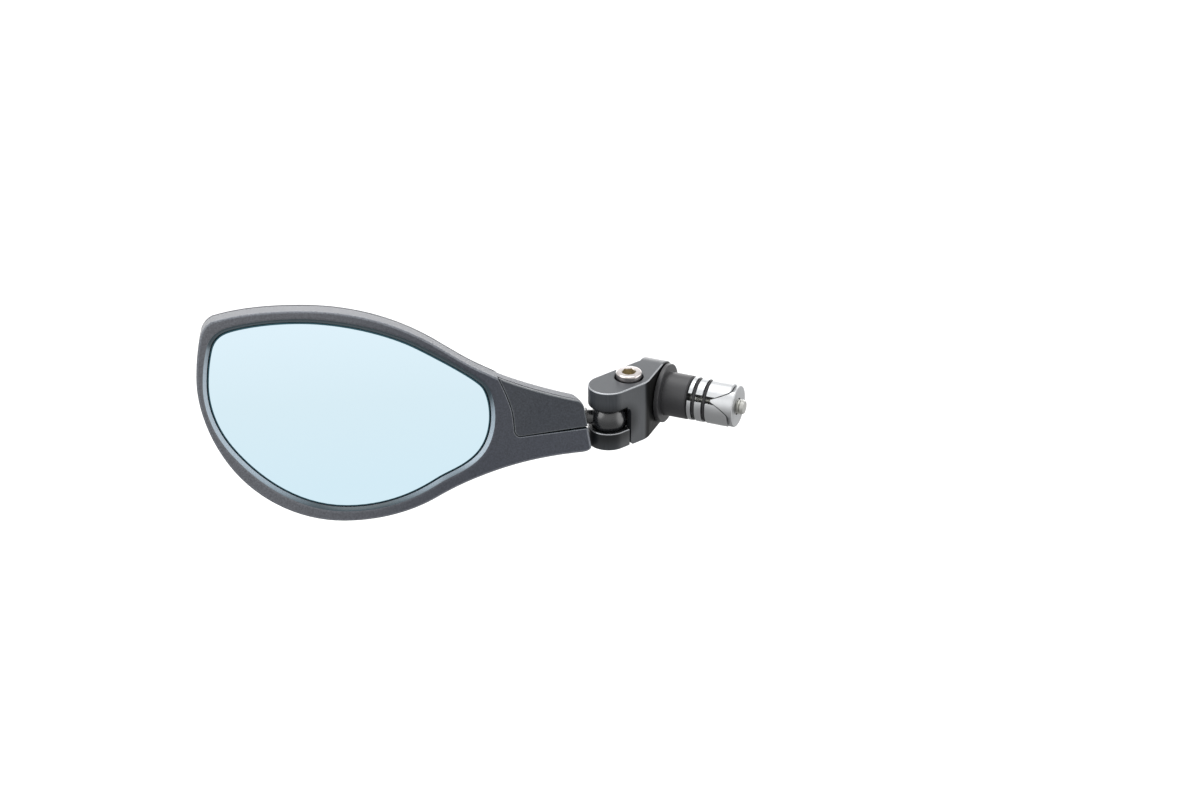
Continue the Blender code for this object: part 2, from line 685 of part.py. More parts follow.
def make_segments(finish):
    """Three bars with a flat ramp inside, cut from one round; each sits a third of a turn further on."""
    reach = 12
    span = (SEGMENT_START_X, SEGMENT_END_X)
    half = BAND_THICKNESS / 2 + 0.2
    ramp_end_x = SEGMENT_END_X + 1
    ramp_end_r = RAMP_START_R + RAMP_SLOPE * (ramp_end_x - RAMP_START_X)
    for number in range(1, 4):
        name = f"expander_segment_{number}"
        home = new_home(name + "_home", Matrix.Rotation(math.radians(120 * (number - 1)), 4, "X"))
        bar = cylinder(name, SEGMENT_R, span, home, finish, axis=ALONG_X, sides=48)
        cut(bar, box(name + "_below", (0, -reach, -reach), (RAMP_START_X + 1, reach, RAMP_START_R), home))
        cut(bar, three_flats(name + "_ramp", (RAMP_START_R, ramp_end_r), (RAMP_START_X, ramp_end_x), home))
        for sign in (-1, 1):
            low_y, high_y = sorted((0, sign * 2 * reach))
            outside = box(f"{name}_side_{sign}", (0, low_y, -reach), (40, high_y, 2 * reach), home)
            outside.rotation_euler.x = math.radians(-sign * SEGMENT_HALF_ANGLE)
            cut(bar, outside)
        for band, x in enumerate(BAND_X, 1):
            front, back = x - half, x + half
            ring = [(BAND_GROOVE_R, back), (reach, back), (reach, front), (BAND_GROOVE_R, front)]
            groove = turned(f"{name}_groove_{band}", ring, home, closed=True, sides=40)
            groove.matrix_local = ALONG_X
            cut(bar, groove)


def make_wedge_nut(finish):
    span = (WEDGE_START_X, WEDGE_END_X)
    distances = [RAMP_START_R + RAMP_SLOPE * (x - RAMP_START_X) - RAMP_GAP for x in span]
    nut = three_flats("expander_wedge_nut", distances, span, BAR, finish)
    turning = cylinder("wedge_round", WEDGE_R, (WEDGE_START_X - 1, WEDGE_END_X + 1), BAR, axis=ALONG_X)
    combine(nut, turning, "INTERSECT")
    cut(nut, cylinder("wedge_thread", M6_R + GAP, (10, 40), BAR, axis=ALONG_X))


def make_bands(finish):
    for number, x in enumerate(BAND_X, 1):
        bpy.ops.mesh.primitive_torus_add(
            major_segments=28,
            minor_segments=6,
            major_radius=BAND_R * MM,
            minor_radius=BAND_THICKNESS / 2 * MM,
        )
        made = bpy.context.active_object
        mesh = made.data
        bpy.data.objects.remove(made)
        mesh.transform(Matrix.Translation((x * MM, 0, 0)) @ ALONG_X)
        add(f"retaining_band_{number}", mesh, BAR, finish)


def make_expander_bolt(finish):
    outer, inner = EXPANDER_HEAD_X
    head_outwards = ALONG_X @ Matrix.Rotation(math.radians(180), 4, "X")
    place = Matrix.Translation((inner * MM, 0, 0)) @ head_outwards
    head = (M6_HEAD_R, inner - outer)
    socket_screw("expander_bolt", head, (M6_R, EXPANDER_BOLT_LENGTH), 4.0, place, BAR, finish)


# The mirror

clear_scene()
PARTS = new_collection("bar_end_mirror")
CUTTERS = new_collection("cutters")
ARM_BLACK = material("arm_black", (0.035, 0.036, 0.040), 0.42, 0.9)
HOUSING = material("housing_black", (0.045, 0.047, 0.052), 0.55)
COVER = material("neck_cover_black", (0.040, 0.042, 0.048), 0.5)
MIRROR = material("mirror_glass", (0.70, 0.86, 0.93), 0.03, 1.0)
FOAM = material("foam_tape", (0.75, 0.75, 0.72), 0.9)
BALL_BLACK = material("ball_black", (0.03, 0.03, 0.032), 0.35, 0.8)
NYLON = material("nylon_black", (0.02, 0.02, 0.022), 0.5)
STEEL = material("stainless_steel", (0.62, 0.60, 0.57), 0.25, 1.0)
ZINC = material("zinc_plated_steel", (0.55, 0.55, 0.52), 0.35, 1.0)
ALUMINIUM = material("plain_aluminium", (0.60, 0.61, 0.62), 0.4, 1.0)
RUBBER = material("band_rubber", (0.02, 0.02, 0.02), 0.8)

glass_out = STEM_TO_BALL.cross(HEAD_UP)
turn_of_head = Matrix((STEM_TO_BALL, HEAD_UP, glass_out)).transposed().to_4x4()
flat_ball = Vector((BALL.x, BALL.y, 0)) * MM
along_arm = Matrix.Translation(flat_ball) @ Matrix.Rotation(math.radians(ARM_HEADING), 4, "Z")
BAR = new_home("bar_axis", Matrix())
HEAD = new_home("head_on_ball", Matrix.Translation(BALL * MM) @ turn_of_head)
SEAT = new_home("ball_centre", Matrix.Translation(BALL * MM))
ARM_PLAN = new_home("arm_plan", along_arm)
BOLT = new_home("clamp_bolt_axis", along_arm @ Matrix.Translation((CLAMP_BOLT_S * MM, 0, 0)))

make_frame(HEAD, HOUSING)
make_shell(HEAD, HOUSING)
make_neck_cover(HEAD, COVER)
make_glass(HEAD)
make_stud_nut(HEAD, ZINC)
make_ball_stud(HEAD, BALL_BLACK)
make_upper_seat(SEAT, NYLON)
make_arm(ARM_PLAN, ARM_BLACK)
make_jaw(ARM_PLAN, ARM_BLACK)
make_lower_seat(ARM_PLAN, NYLON)
make_clamp_bolt(BOLT, STEEL)
make_plug(NYLON)
make_segments(ALUMINIUM)
make_wedge_nut(ALUMINIUM)
make_bands(RUBBER)
make_expander_bolt(ZINC)
bpy.context.view_layer.update()
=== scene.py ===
"""Looks for the bar-end mirror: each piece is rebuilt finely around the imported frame, then lit in a studio.

Sizes are in millimetres unless a comment or a name says otherwise, and angles are in degrees.
"""

import json
import math

import bmesh
import bpy
from mathutils import Matrix, Vector
from mathutils.geometry import interpolate_bezier


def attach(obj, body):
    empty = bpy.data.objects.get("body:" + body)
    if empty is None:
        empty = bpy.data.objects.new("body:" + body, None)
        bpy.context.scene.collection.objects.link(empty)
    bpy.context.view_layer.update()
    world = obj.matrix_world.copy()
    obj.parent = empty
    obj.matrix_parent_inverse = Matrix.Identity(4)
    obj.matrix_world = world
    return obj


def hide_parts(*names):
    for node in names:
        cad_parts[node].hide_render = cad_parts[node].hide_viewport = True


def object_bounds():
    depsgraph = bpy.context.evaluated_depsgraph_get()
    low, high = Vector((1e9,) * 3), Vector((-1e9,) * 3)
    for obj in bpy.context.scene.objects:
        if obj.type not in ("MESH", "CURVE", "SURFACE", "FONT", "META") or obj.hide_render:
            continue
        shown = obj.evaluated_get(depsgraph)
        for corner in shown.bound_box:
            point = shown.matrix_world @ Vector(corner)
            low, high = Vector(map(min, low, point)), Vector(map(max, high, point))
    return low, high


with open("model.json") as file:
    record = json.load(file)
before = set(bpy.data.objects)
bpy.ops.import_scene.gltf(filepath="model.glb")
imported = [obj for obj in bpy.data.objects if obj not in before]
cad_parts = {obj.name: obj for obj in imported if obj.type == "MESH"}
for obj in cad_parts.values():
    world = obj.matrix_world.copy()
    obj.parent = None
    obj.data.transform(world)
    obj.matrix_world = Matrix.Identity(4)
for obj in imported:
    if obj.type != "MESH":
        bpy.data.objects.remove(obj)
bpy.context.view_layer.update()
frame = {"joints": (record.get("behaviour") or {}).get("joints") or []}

MM = 0.001
GAP = 0.3
# Slot two holds the rounded edges' material; on the frame, the cover, the arm and the jaw it carries a
# painted highlight.
SLOTS = 2  # a piece's own finish, and the finish of its rounded edges

# Places, in metres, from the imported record's joints.
JOINTS = {joint["name"]: joint for joint in frame["joints"]}
BALL = Vector(JOINTS["head_pan"]["pos_m"])
BAR_AXIS = Vector(JOINTS["arm_swivel"]["pos_m"])
BOLT_AXIS = Vector(JOINTS["clamp_bolt_turn"]["pos_m"])
STEM_TO_BALL = Vector(JOINTS["head_roll"]["axis"]).normalized()
HEAD_UP = Vector((-0.0643, 0.2381, 0.9689))
BALL_Z = (BALL.z - BAR_AXIS.z) / MM  # from the bar's axis, in millimetres
CLAMP_BOLT_S = (BOLT_AXIS.xy - BALL.xy).length / MM
ARM_HEADING = math.atan2(BOLT_AXIS.y - BALL.y, BOLT_AXIS.x - BALL.x)

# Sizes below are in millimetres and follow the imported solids.
BALL_R = 6.9
SEAT_R = BALL_R + GAP
STEM_R = 2.8
SHANK_R = 2.5
SHANK_END = -22.5
COLLAR_R = 3.6
COLLAR_X = (-8.6, -9.2)
UPPER_SEAT_R = 5.7
UPPER_SEAT_Z = (4.3, 6.7)
LOWER_SEAT_R = 5.3
LOWER_SEAT_Z = (-10.6, -6.9)

ARM_HALF_WIDTH = 8.0
ARM_HALF_HEIGHT = 12.4
ARM_FACE_X = -2.2
HUB_OUTER_X = -11.8
ARM_CORNER_R = 2.2
PAST_AXIS_Y = 6.0  # the arm's blank runs on this far past the bar's axis, before it is cut there
BLOCK_RIM_Z = 4.0
BLOCK_RIM_R = 1.3
LEG_START = 4.6
LEG_CORNER_R = 1.9
CHANNEL_HALF_WIDTH = 5.5
CHANNEL_END = 15.6
JAW_TOP_Z = -5.1
JAW_BOTTOM_Z = -12.2
JAW_SHOULDER = LEG_START - 0.4
TONGUE_HALF_WIDTH = CHANNEL_HALF_WIDTH - 0.4
TONGUE_END = CHANNEL_END - 0.4

M6_R = 3.0
M6_HEAD_R = 5.0
CLAMP_RECESS_Z = 7.6
CLAMP_RECESS_R = 5.6
CLAMP_WASHER_Z = (7.9, 8.7)
CLAMP_HEAD_Z = (8.9, 14.7)
CLAMP_BOLT_LENGTH = 20.3
COUNTERBORE_X = -5.8
COUNTERBORE_R = 5.9
EXPANDER_WASHER_X = (-7.4, -6.1)
EXPANDER_HEAD_X = (-11.6, -7.6)
EXPANDER_BOLT_LENGTH = 39.2
SMALL_SCREW_R = 1.25
SMALL_HEAD_R = 2.75
SMALL_HEAD_HEIGHT = 1.3
SMALL_HOLE_R = SMALL_SCREW_R + GAP
SMALL_RECESS_R = 3.1
SHELL_SCREW_Z = -7.8
SHELL_SCREW_LENGTH = 6.4
COVER_SCREW_Z = -5.9
COVER_SCREW_LENGTH = 10.2

FLANGE_R = 11.6
FLANGE_X = -1.9
SPIGOT_R = 8.6
SPIGOT_END_X = 10.0
SEGMENT_R = 8.5
SEGMENT_HALF_ANGLE = 50.0
SEGMENT_SPAN = (10.4, 27.0)
RAMP_START_X = 19.5
RAMP_START_R = 4.6
RAMP_SLOPE = 0.4
RAMP_GAP = 0.35
WEDGE_SPAN = (20.0, 29.0)
WEDGE_R = 8.2
BAND_X = (13.0, 17.3)
BAND_R = 7.55
BAND_THICKNESS = 1.2
BAND_GROOVE_R = 5.9

FRONT_Z = 6.0
FRAME_BACK_Z = -5.0
WEB_FRONT_Z = 1.2
WEB_BACK_Z = -1.0
GLASS_FRONT_Z = 4.4
GLASS_BACK_Z = 2.4
GLASS_BEVEL = 0.5
CHAMFER_FOOT_Z = 4.5
SHELL_RIM_Z = FRAME_BACK_Z - GAP
SHELL_LIP = 0.8
SHELL_DEPTH = 3.6
SHELL_WALL = 1.8
NECK_BACK_TOP_Z = -4.0
NECK_BACK_Z = -7.6
END_RELIEF_AT = (-8.5, -2.9, 5.0)
END_HEADING = 102.0
END_SLOPE = 18.0
COVER_BACK_Z = 3.4
PAD_Z = (1.5, 2.1)
NUT_X = (-21.8, -16.8)
STUD_WASHER_X = (-16.2, -15.1)
HEAD_CENTRE = Vector((-100.0, 2.0, 0.0))
NECK_CENTRE = Vector((-23.0, -2.0, 0.0))
NECK_START_X = -46.0
FRAME_ROUNDING = 0.8
COVER_ROUNDING = 0.4
SHELL_FULLNESS = 0.42
NECK_FULLNESS = 0.22
REAR_HOLLOW_SCALE = 0.95
GLASS_SCALE = 0.993
PAD_SCALE = 0.94
FRAME_BOSS_R = 3.4
SHELL_BOSS_R = 4.2
COVER_BOSS_R = 3.2
COVER_BOSS_ROOM_R = 3.6
SCREW_PASSAGE_R = 1.6
SHELL_SCREWS = ((-132.0, 20.0), (-126.0, -17.0), (-60.0, 3.0))
COVER_SCREW = (-30.0, 2.5)

# Outline anchors: x, y, heading, and the length of the handle before and after the point.
OVAL = (
    (-44.3, 16.9, 156, 9.4, 10.5),
    (-65.8, 28.3, 149, 13.0, 15.6),
    (-117.0, 42.2, 180, 21.0, 17.0),
    (-150.4, 38.1, 197, 6.5, 2.3),
    (-155.0, 32.8, 257, 2.3, 6.0),
    (-156.7, 16.0, 270, 6.0, 8.0),
    (-146.2, -15.3, 304, 14.0, 18.0),
    (-101.0, -39.6, 0, 18.0, 16.5),
    (-66.1, -30.6, 31, 7.5, 7.4),
    (-43.4, -19.9, 20, 11.1, 12.7),
)
NECK_TIP = (
    (-10.6, -12.7, 6, 9.8, 1.9),
    (-7.0, -10.2, 102, 1.6, 4.0),
    (-10.1, 4.6, 102, 4.0, 1.8),
    (-13.4, 7.8, 170, 1.8, 6.0),
)
SHELL_OUTLINE = (
    (-44.3, 16.9, 156, 3.5, 10.5),
    *OVAL[1:-1],
    (-43.4, -19.9, 20, 11.1, 3.5),
    (-37.6, -1.5, 91, 10.0, 10.0),
)
GLASS = (
    (-48.4, 12.4, 122, 6.2, 4.0),
    (-73.9, 27.9, 153, 9.0, 12.0),
    (-118.0, 37.7, 180, 15.7, 13.6),
    (-145.5, 34.0, 200, 4.0, 3.5),
    (-151.6, 27.0, 258, 3.5, 4.0),
    (-152.9, 14.0, 270, 5.0, 8.0),
    (-142.5, -12.5, 311, 12.0, 10.0),
    (-100.0, -34.4, 0, 21.0, 19.0),
    (-65.0, -23.2, 32, 5.0, 6.0),
    (-48.0, -10.0, 63, 8.5, 8.0),
)
NECK_BACK = (
    (-14.2, 7.0, 170, 1.8, 6.0),
    (-31.0, 11.4, 166, 6.0, 3.0),
    (-36.2, 6.5, 265, 3.0, 5.0),
    (-36.2, -11.0, 272, 5.0, 3.0),
    (-31.0, -15.4, 12, 3.0, 6.0),
    (-12.6, -12.0, 6, 6.0, 1.8),
    (-9.6, -9.2, 98, 1.8, 4.0),
    (-11.4, 4.2, 98, 4.0, 1.8),
)


# Places of the groups of pieces: each matrix takes millimetres to the frame's metres.


def place(matrix):
    return matrix @ Matrix.Scale(MM, 4)


def head_place():
    glass_out = STEM_TO_BALL.cross(HEAD_UP)
    turn = Matrix((STEM_TO_BALL, HEAD_UP, glass_out)).transposed().to_4x4()
    return place(Matrix.Translation(BALL) @ turn)


def arm_place():
    at = Matrix.Translation((BALL.x, BALL.y, BAR_AXIS.z))
    return place(at @ Matrix.Rotation(ARM_HEADING, 4, "Z"))


HEAD = head_place()
PLAN = arm_place()
SEAT = place(Matrix.Translation(BALL))
BAR = place(Matrix.Translation(BAR_AXIS))
BOLT = place(Matrix.Translation((BOLT_AXIS.x, BOLT_AXIS.y, BAR_AXIS.z)))
ALONG_X = Matrix.Rotation(math.radians(90), 4, "Y")
UPRIGHT = Matrix()


# Shapes, in millimetres


def new_object(name, shape):
    """A mesh object from a bmesh, in its own millimetre space."""
    mesh = bpy.data.meshes.new(name)
    shape.to_mesh(mesh)
    shape.free()
    for _ in range(SLOTS):
        mesh.materials.append(None)
    obj = bpy.data.objects.new(name, mesh)
    bpy.context.scene.collection.objects.link(obj)
    return obj


def loft(name, rings, caps=(True, True)):
    """Joins rings of equally many points, lowest first, each running anticlockwise from above."""
    shape = bmesh.new()
    rows = [[shape.verts.new(point) for point in ring] for ring in rings]
    for lower, upper in zip(rows, rows[1:]):
        for i in range(len(lower)):
            shape.faces.new((lower[i - 1], lower[i], upper[i], upper[i - 1]))
    if caps[0]:
        shape.faces.new(rows[0][::-1])
    if caps[1]:
        shape.faces.new(rows[-1])
    return new_object(name, shape)


def plate(name, points, low, high):
    return loft(name, [[Vector((p.x, p.y, z)) for p in points] for z in (low, high)])


def turned(name, profile, sides=96, axis=UPRIGHT, closed=False):
    """Turns a profile of (radius, height) points, top to bottom, about an axis."""
    shape = bmesh.new()
    rows = []
    for radius, height in profile:
        if radius < 1e-6:
            rows.append([shape.verts.new(axis @ Vector((0, 0, height)))])
            continue
        turns = [2 * math.pi * i / sides for i in range(sides)]
        ring = [Vector((radius * math.cos(a), radius * math.sin(a), height)) for a in turns]
        rows.append([shape.verts.new(axis @ point) for point in ring])
    pairs = list(zip(rows, rows[1:]))
    if closed:
        pairs.append((rows[-1], rows[0]))
    for upper, lower in pairs:
        for i in range(sides):
            corners = []
            for row, step in ((upper, i), (lower, i), (lower, i - 1), (upper, i - 1)):
                corner = row[step % len(row)]
                if corner not in corners:
                    corners.append(corner)
            if len(corners) > 2:
                shape.faces.new(corners)
    bmesh.ops.recalc_face_normals(shape, faces=shape.faces)
    return new_object(name, shape)


def cone(name, radii, span, sides=96, axis=UPRIGHT, at=(0, 0, 0), turn=0):
    low, high = span
    shape = bmesh.new()
    bmesh.ops.create_cone(
        shape, cap_ends=True, segments=sides, radius1=radii[0], radius2=radii[1], depth=high - low
    )
    own = Matrix.Translation((0, 0, (low + high) / 2)) @ Matrix.Rotation(math.radians(turn), 4, "Z")
    shape.transform(Matrix.Translation(at) @ axis @ own)
    return new_object(name, shape)


def cylinder(name, radius, span, **more):
    return cone(name, (radius, radius), span, **more)


def box(name, low, high, turn=0.0):
    shape = bmesh.new()
    bmesh.ops.create_cube(shape, size=1)
    size = Vector(high) - Vector(low)
    middle = (Vector(high) + Vector(low)) / 2
    shape.transform(Matrix.Translation(middle) @ Matrix.Diagonal((*size, 1)))
    shape.transform(Matrix.Rotation(math.radians(turn), 4, "X"))
    return new_object(name, shape)


def arc(radius, start, end, steps, centre=(0.0, 0.0)):
    """Points (radius, height) on a circle about a point of the profile's plane."""
    angles = [math.radians(start + (end - start) * i / steps) for i in range(steps + 1)]
    return [(centre[0] + radius * math.cos(a), centre[1] + radius * math.sin(a)) for a in angles]


def handles(anchor):
    x, y, heading, before, after = anchor
    along = Vector((math.cos(math.radians(heading)), math.sin(math.radians(heading)), 0))
    point = Vector((x, y, 0))
    return point - along * before, point, point + along * after


def outline_points(outline, steps=16):
    """Points along a closed outline. A stretch whose handles are both nothing is a straight line."""
    points = []
    for here, following in zip(outline, outline[1:] + outline[:1]):
        _, start, leaving = handles(here)
        arriving, end, _ = handles(following)
        if (start - end).length < 1e-6:
            continue
        straight = here[4] == 0 and following[3] == 0
        points += [start] if straight else interpolate_bezier(start, leaving, arriving, end, steps + 1)[:-1]
    return [Vector(point) for point in points]


def scaled(points, scale, centre=HEAD_CENTRE):
    return [centre + (point - centre) * scale for point in points]


def grown(points, distance):
    """An outline moved outwards by a distance, along its normals."""
    moved = []
    for before, here, after in zip(points[-1:] + points[:-1], points, points[1:] + points[:1]):
        along = (after - before).normalized()
        moved.append(here + Vector((along.y, -along.x, 0)) * distance)
    return moved


def at_height(points, z):
    return [Vector((point.x, point.y, z)) for point in points]


def dome_rings(outline, centre, top_z, depth, fullness, turns):
    """Rings of a shallow dome that hangs below its outline, deepest ring first."""
    rings = []
    for turn in reversed(turns):
        size = math.cos(math.radians(turn)) ** fullness
        drop = top_z - depth * math.sin(math.radians(turn))
        rings.append(at_height(scaled(outline, size, centre), drop))
    return rings


# Changes to a shape


def modify(obj, kind, **settings):
    modifier = obj.modifiers.new(kind.lower(), kind)
    for name, value in settings.items():
        setattr(modifier, name, value)
    return modifier


def settle(obj):
    """Bakes an object's modifiers into its mesh."""
    bpy.context.view_layer.update()
    graph = bpy.context.evaluated_depsgraph_get()
    baked = bpy.data.meshes.new_from_object(obj.evaluated_get(graph))
    obj.modifiers.clear()
    obj.data = baked
    return obj


def soften(obj, width, segments=4, angle=60):
    modify(
        obj, "BEVEL", width=width, segments=segments, limit_method="ANGLE", material=1,
        angle_limit=math.radians(angle), use_clamp_overlap=False,
    )
    return settle(obj)


def soften_where(obj, width, wanted, segments=3, sharpness=40, material=1):
    """Rounds only the sharp edges whose two ends are both wanted."""
    shape = bmesh.new()
    shape.from_mesh(obj.data)
    edges = [
        edge for edge in shape.edges
        if edge.is_manifold and edge.calc_face_angle() > math.radians(sharpness)
        and all(wanted(vert.co) for vert in edge.verts)
    ]
    bmesh.ops.bevel(
        shape, geom=edges, offset=width, segments=segments, profile=0.5, affect="EDGES", material=material,
        clamp_overlap=False,
    )
    shape.to_mesh(obj.data)
    shape.free()
    return obj


def tidy(obj):
    """Welds the slivers that a cut can leave along its edges."""
    shape = bmesh.new()
    shape.from_mesh(obj.data)
    bmesh.ops.remove_doubles(shape, verts=shape.verts, dist=0.002)
    bmesh.ops.dissolve_degenerate(shape, edges=shape.edges, dist=0.002)
    shape.to_mesh(obj.data)
    shape.free()


def combine(obj, others, operation):
    for other in others:
        modify(obj, "BOOLEAN", operation=operation, object=other, solver="EXACT")
        settle(obj)
        tidy(obj)
        bpy.data.objects.remove(other)
    return obj


def cut(obj, *others):
    return combine(obj, others, "DIFFERENCE")


def join(obj, *others):
    return combine(obj, others, "UNION")


def finish(obj, node, home, body, surface, edges=None, smooth=30):
    """Moves a shape to its place, gives it its materials and makes it stand for its node."""
    obj.data.transform(home)
    obj.name = node + "_fine"
    obj.data.name = obj.name
    obj.data.materials[0] = surface
    obj.data.materials[1] = edges or surface
    obj.data.shade_smooth()
    obj.data.set_sharp_from_angle(angle=math.radians(smooth))
    modify(obj, "WEIGHTED_NORMAL", keep_sharp=True)
    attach(obj, body)
    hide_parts(node)
    return obj


# Materials. Places and distances are in metres, and a noise's scale is per metre.

ANODISED_TONES = ((0.020, 0.024, 0.030), (0.040, 0.046, 0.054))
# Painted shade on the arm by the ball, under the block:
BALL_PAINTED_SHADE = (0.0090, 0.0130)  # thickest up to the first distance from the ball's centre, gone at the second
# The mirror's blue tint, painted paler upwards through these heights: a painted reflection.
GLASS_TINTS = ((0.655, 0.835, 0.925, 1), (0.685, 0.845, 0.920, 1), (0.735, 0.885, 0.965, 1))
GLASS_TINT_Z = (-0.030, 0.002, 0.030)


class Nodes:
    """A small helper that adds shader nodes and links them."""

    def __init__(self, tree):
        self.tree = tree

    def add(self, kind, inputs=None, **settings):
        node = self.tree.nodes.new(kind)
        for name, value in settings.items():
            setattr(node, name, value)
        for name, value in (inputs or {}).items():
            self.put(node.inputs[name], value)
        return node

    def put(self, socket, value):
        if isinstance(value, bpy.types.NodeSocket):
            self.tree.links.new(value, socket)
        else:
            socket.default_value = value

    def maths(self, operation, a, b=0.0, clamp=False):
        return self.add("ShaderNodeMath", {0: a, 1: b}, operation=operation, use_clamp=clamp).outputs[0]

    def mix(self, factor, a, b):
        node = self.add("ShaderNodeMix", data_type="RGBA")
        self.put(node.inputs["Factor"], factor)
        self.put(node.inputs[6], a)
        self.put(node.inputs[7], b)
        return node.outputs[2]

    def place(self):
        return self.add("ShaderNodeTexCoord").outputs["Object"]

    def parts(self, vector):
        return self.add("ShaderNodeSeparateXYZ", {0: vector}).outputs

    def normal(self):
        return self.add("ShaderNodeNewGeometry").outputs["Normal"]

    def vector_maths(self, operation, a, b, output="Vector"):
        return self.add("ShaderNodeVectorMath", {0: a, 1: b}, operation=operation).outputs[output]

    def stretched(self, scale, turn=(0, 0, 0)):
        mapping = self.add("ShaderNodeMapping", {"Vector": self.place(), "Scale": scale})
        mapping.inputs["Rotation"].default_value = turn
        return mapping.outputs[0]

    def noise(self, scale, detail=2.0, rough=0.5, vector=None):
        wanted = {"Scale": scale, "Detail": detail, "Roughness": rough}
        node = self.add("ShaderNodeTexNoise", wanted)
        self.put(node.inputs["Vector"], vector or self.place())
        return node.outputs["Fac"]

    def ranged(self, value, low, high, to_low, to_high, smooth=False):
        node = self.add("ShaderNodeMapRange", {0: value, 1: low, 2: high, 3: to_low, 4: to_high})
        node.interpolation_type = "SMOOTHSTEP" if smooth else "LINEAR"
        return node.outputs[0]

    def bump(self, height, strength, distance, normal=None):
        node = self.add("ShaderNodeBump", {"Height": height, "Strength": strength, "Distance": distance})
        if normal is not None:
            self.put(node.inputs["Normal"], normal)
        return node.outputs[0]

    def soft_edges(self, radius):
        return self.add("ShaderNodeBevel", {"Radius": radius}, samples=6).outputs[0]


def new_material(name, **settings):
    made = bpy.data.materials.new(name)
    made.use_nodes = True
    shader = made.node_tree.nodes["Principled BSDF"]
    for socket, value in settings.items():
        shader.inputs[socket.replace("_", " ")].default_value = value
    return made, Nodes(made.node_tree), shader


def grey(value):
    return (value, value, value, 1.0)


def make_plastic(name, dark, light=None, span=None, rough=0.5, shine=0.42):
    """Moulded plastic with a fine spark-eroded grain.

    With a lit colour and a span of places along X, in metres, it is painted lighter up to the first and dark
    from the second on: painted light, where that end of the head catches more light.
    """
    made, nodes, shader = new_material(name)
    shader.inputs["Specular IOR Level"].default_value = shine
    colour = dark
    if light:
        # Painted light: the lit colour up to the span's first place along X, fading to the dark one by the
        # second.
        colour = nodes.mix(nodes.ranged(nodes.parts(nodes.place())[0], *span, 0, 1, smooth=True), light, dark)
    cloud = nodes.noise(60.0, 3.0)
    colour = nodes.mix(nodes.ranged(cloud, 0.35, 0.65, 0.0, 0.03), colour, grey(0.16))
    grain = nodes.noise(1500.0, 3.0, 0.7)
    broad = nodes.noise(700.0, 2.0)
    speck = nodes.ranged(grain, 0.35, 0.65, 0.75, 1.25)
    colour = nodes.add("ShaderNodeVectorMath", {0: colour, "Scale": speck}, operation="SCALE").outputs[0]
    nodes.put(shader.inputs["Base Color"], colour)
    nodes.put(shader.inputs["Roughness"], nodes.ranged(grain, 0.3, 0.7, rough * 0.85, rough * 1.15))
    normal = nodes.bump(grain, 0.8, 0.0001, nodes.soft_edges(0.00018))
    nodes.put(shader.inputs["Normal"], nodes.bump(broad, 0.15, 0.0001, normal))
    return made


def make_lip(name):
    """The polished lip round the glass, with painted light: its colour is pale where it faces along the head
    and dark where it faces up, for the light it catches and the shade on top.
    """
    made, nodes, shader = new_material(name, Roughness=0.25)
    to_object = {"vector_type": "NORMAL", "convert_from": "WORLD", "convert_to": "OBJECT"}
    facing = nodes.add("ShaderNodeVectorTransform", {0: nodes.normal()}, **to_object).outputs[0]
    along, up = (nodes.vector_maths("DOT_PRODUCT", facing, way, "Value") for way in (STEM_TO_BALL, HEAD_UP))
    lit = nodes.ranged(nodes.maths("ABSOLUTE", along), 0.12, 0.50, 0, 1, smooth=True)
    lit = nodes.maths("MULTIPLY", lit, nodes.ranged(up, -0.25, 0.0, 0, 1, smooth=True))
    # Painted highlight where the lip faces along the head, painted shade where it faces up.
    nodes.put(shader.inputs["Base Color"], nodes.mix(lit, (0.030, 0.050, 0.062, 1), (0.30, 0.37, 0.43, 1)))
    nodes.put(shader.inputs["Normal"], nodes.bump(nodes.noise(2600.0, 3.0), 0.2, 0.00006))
    return made


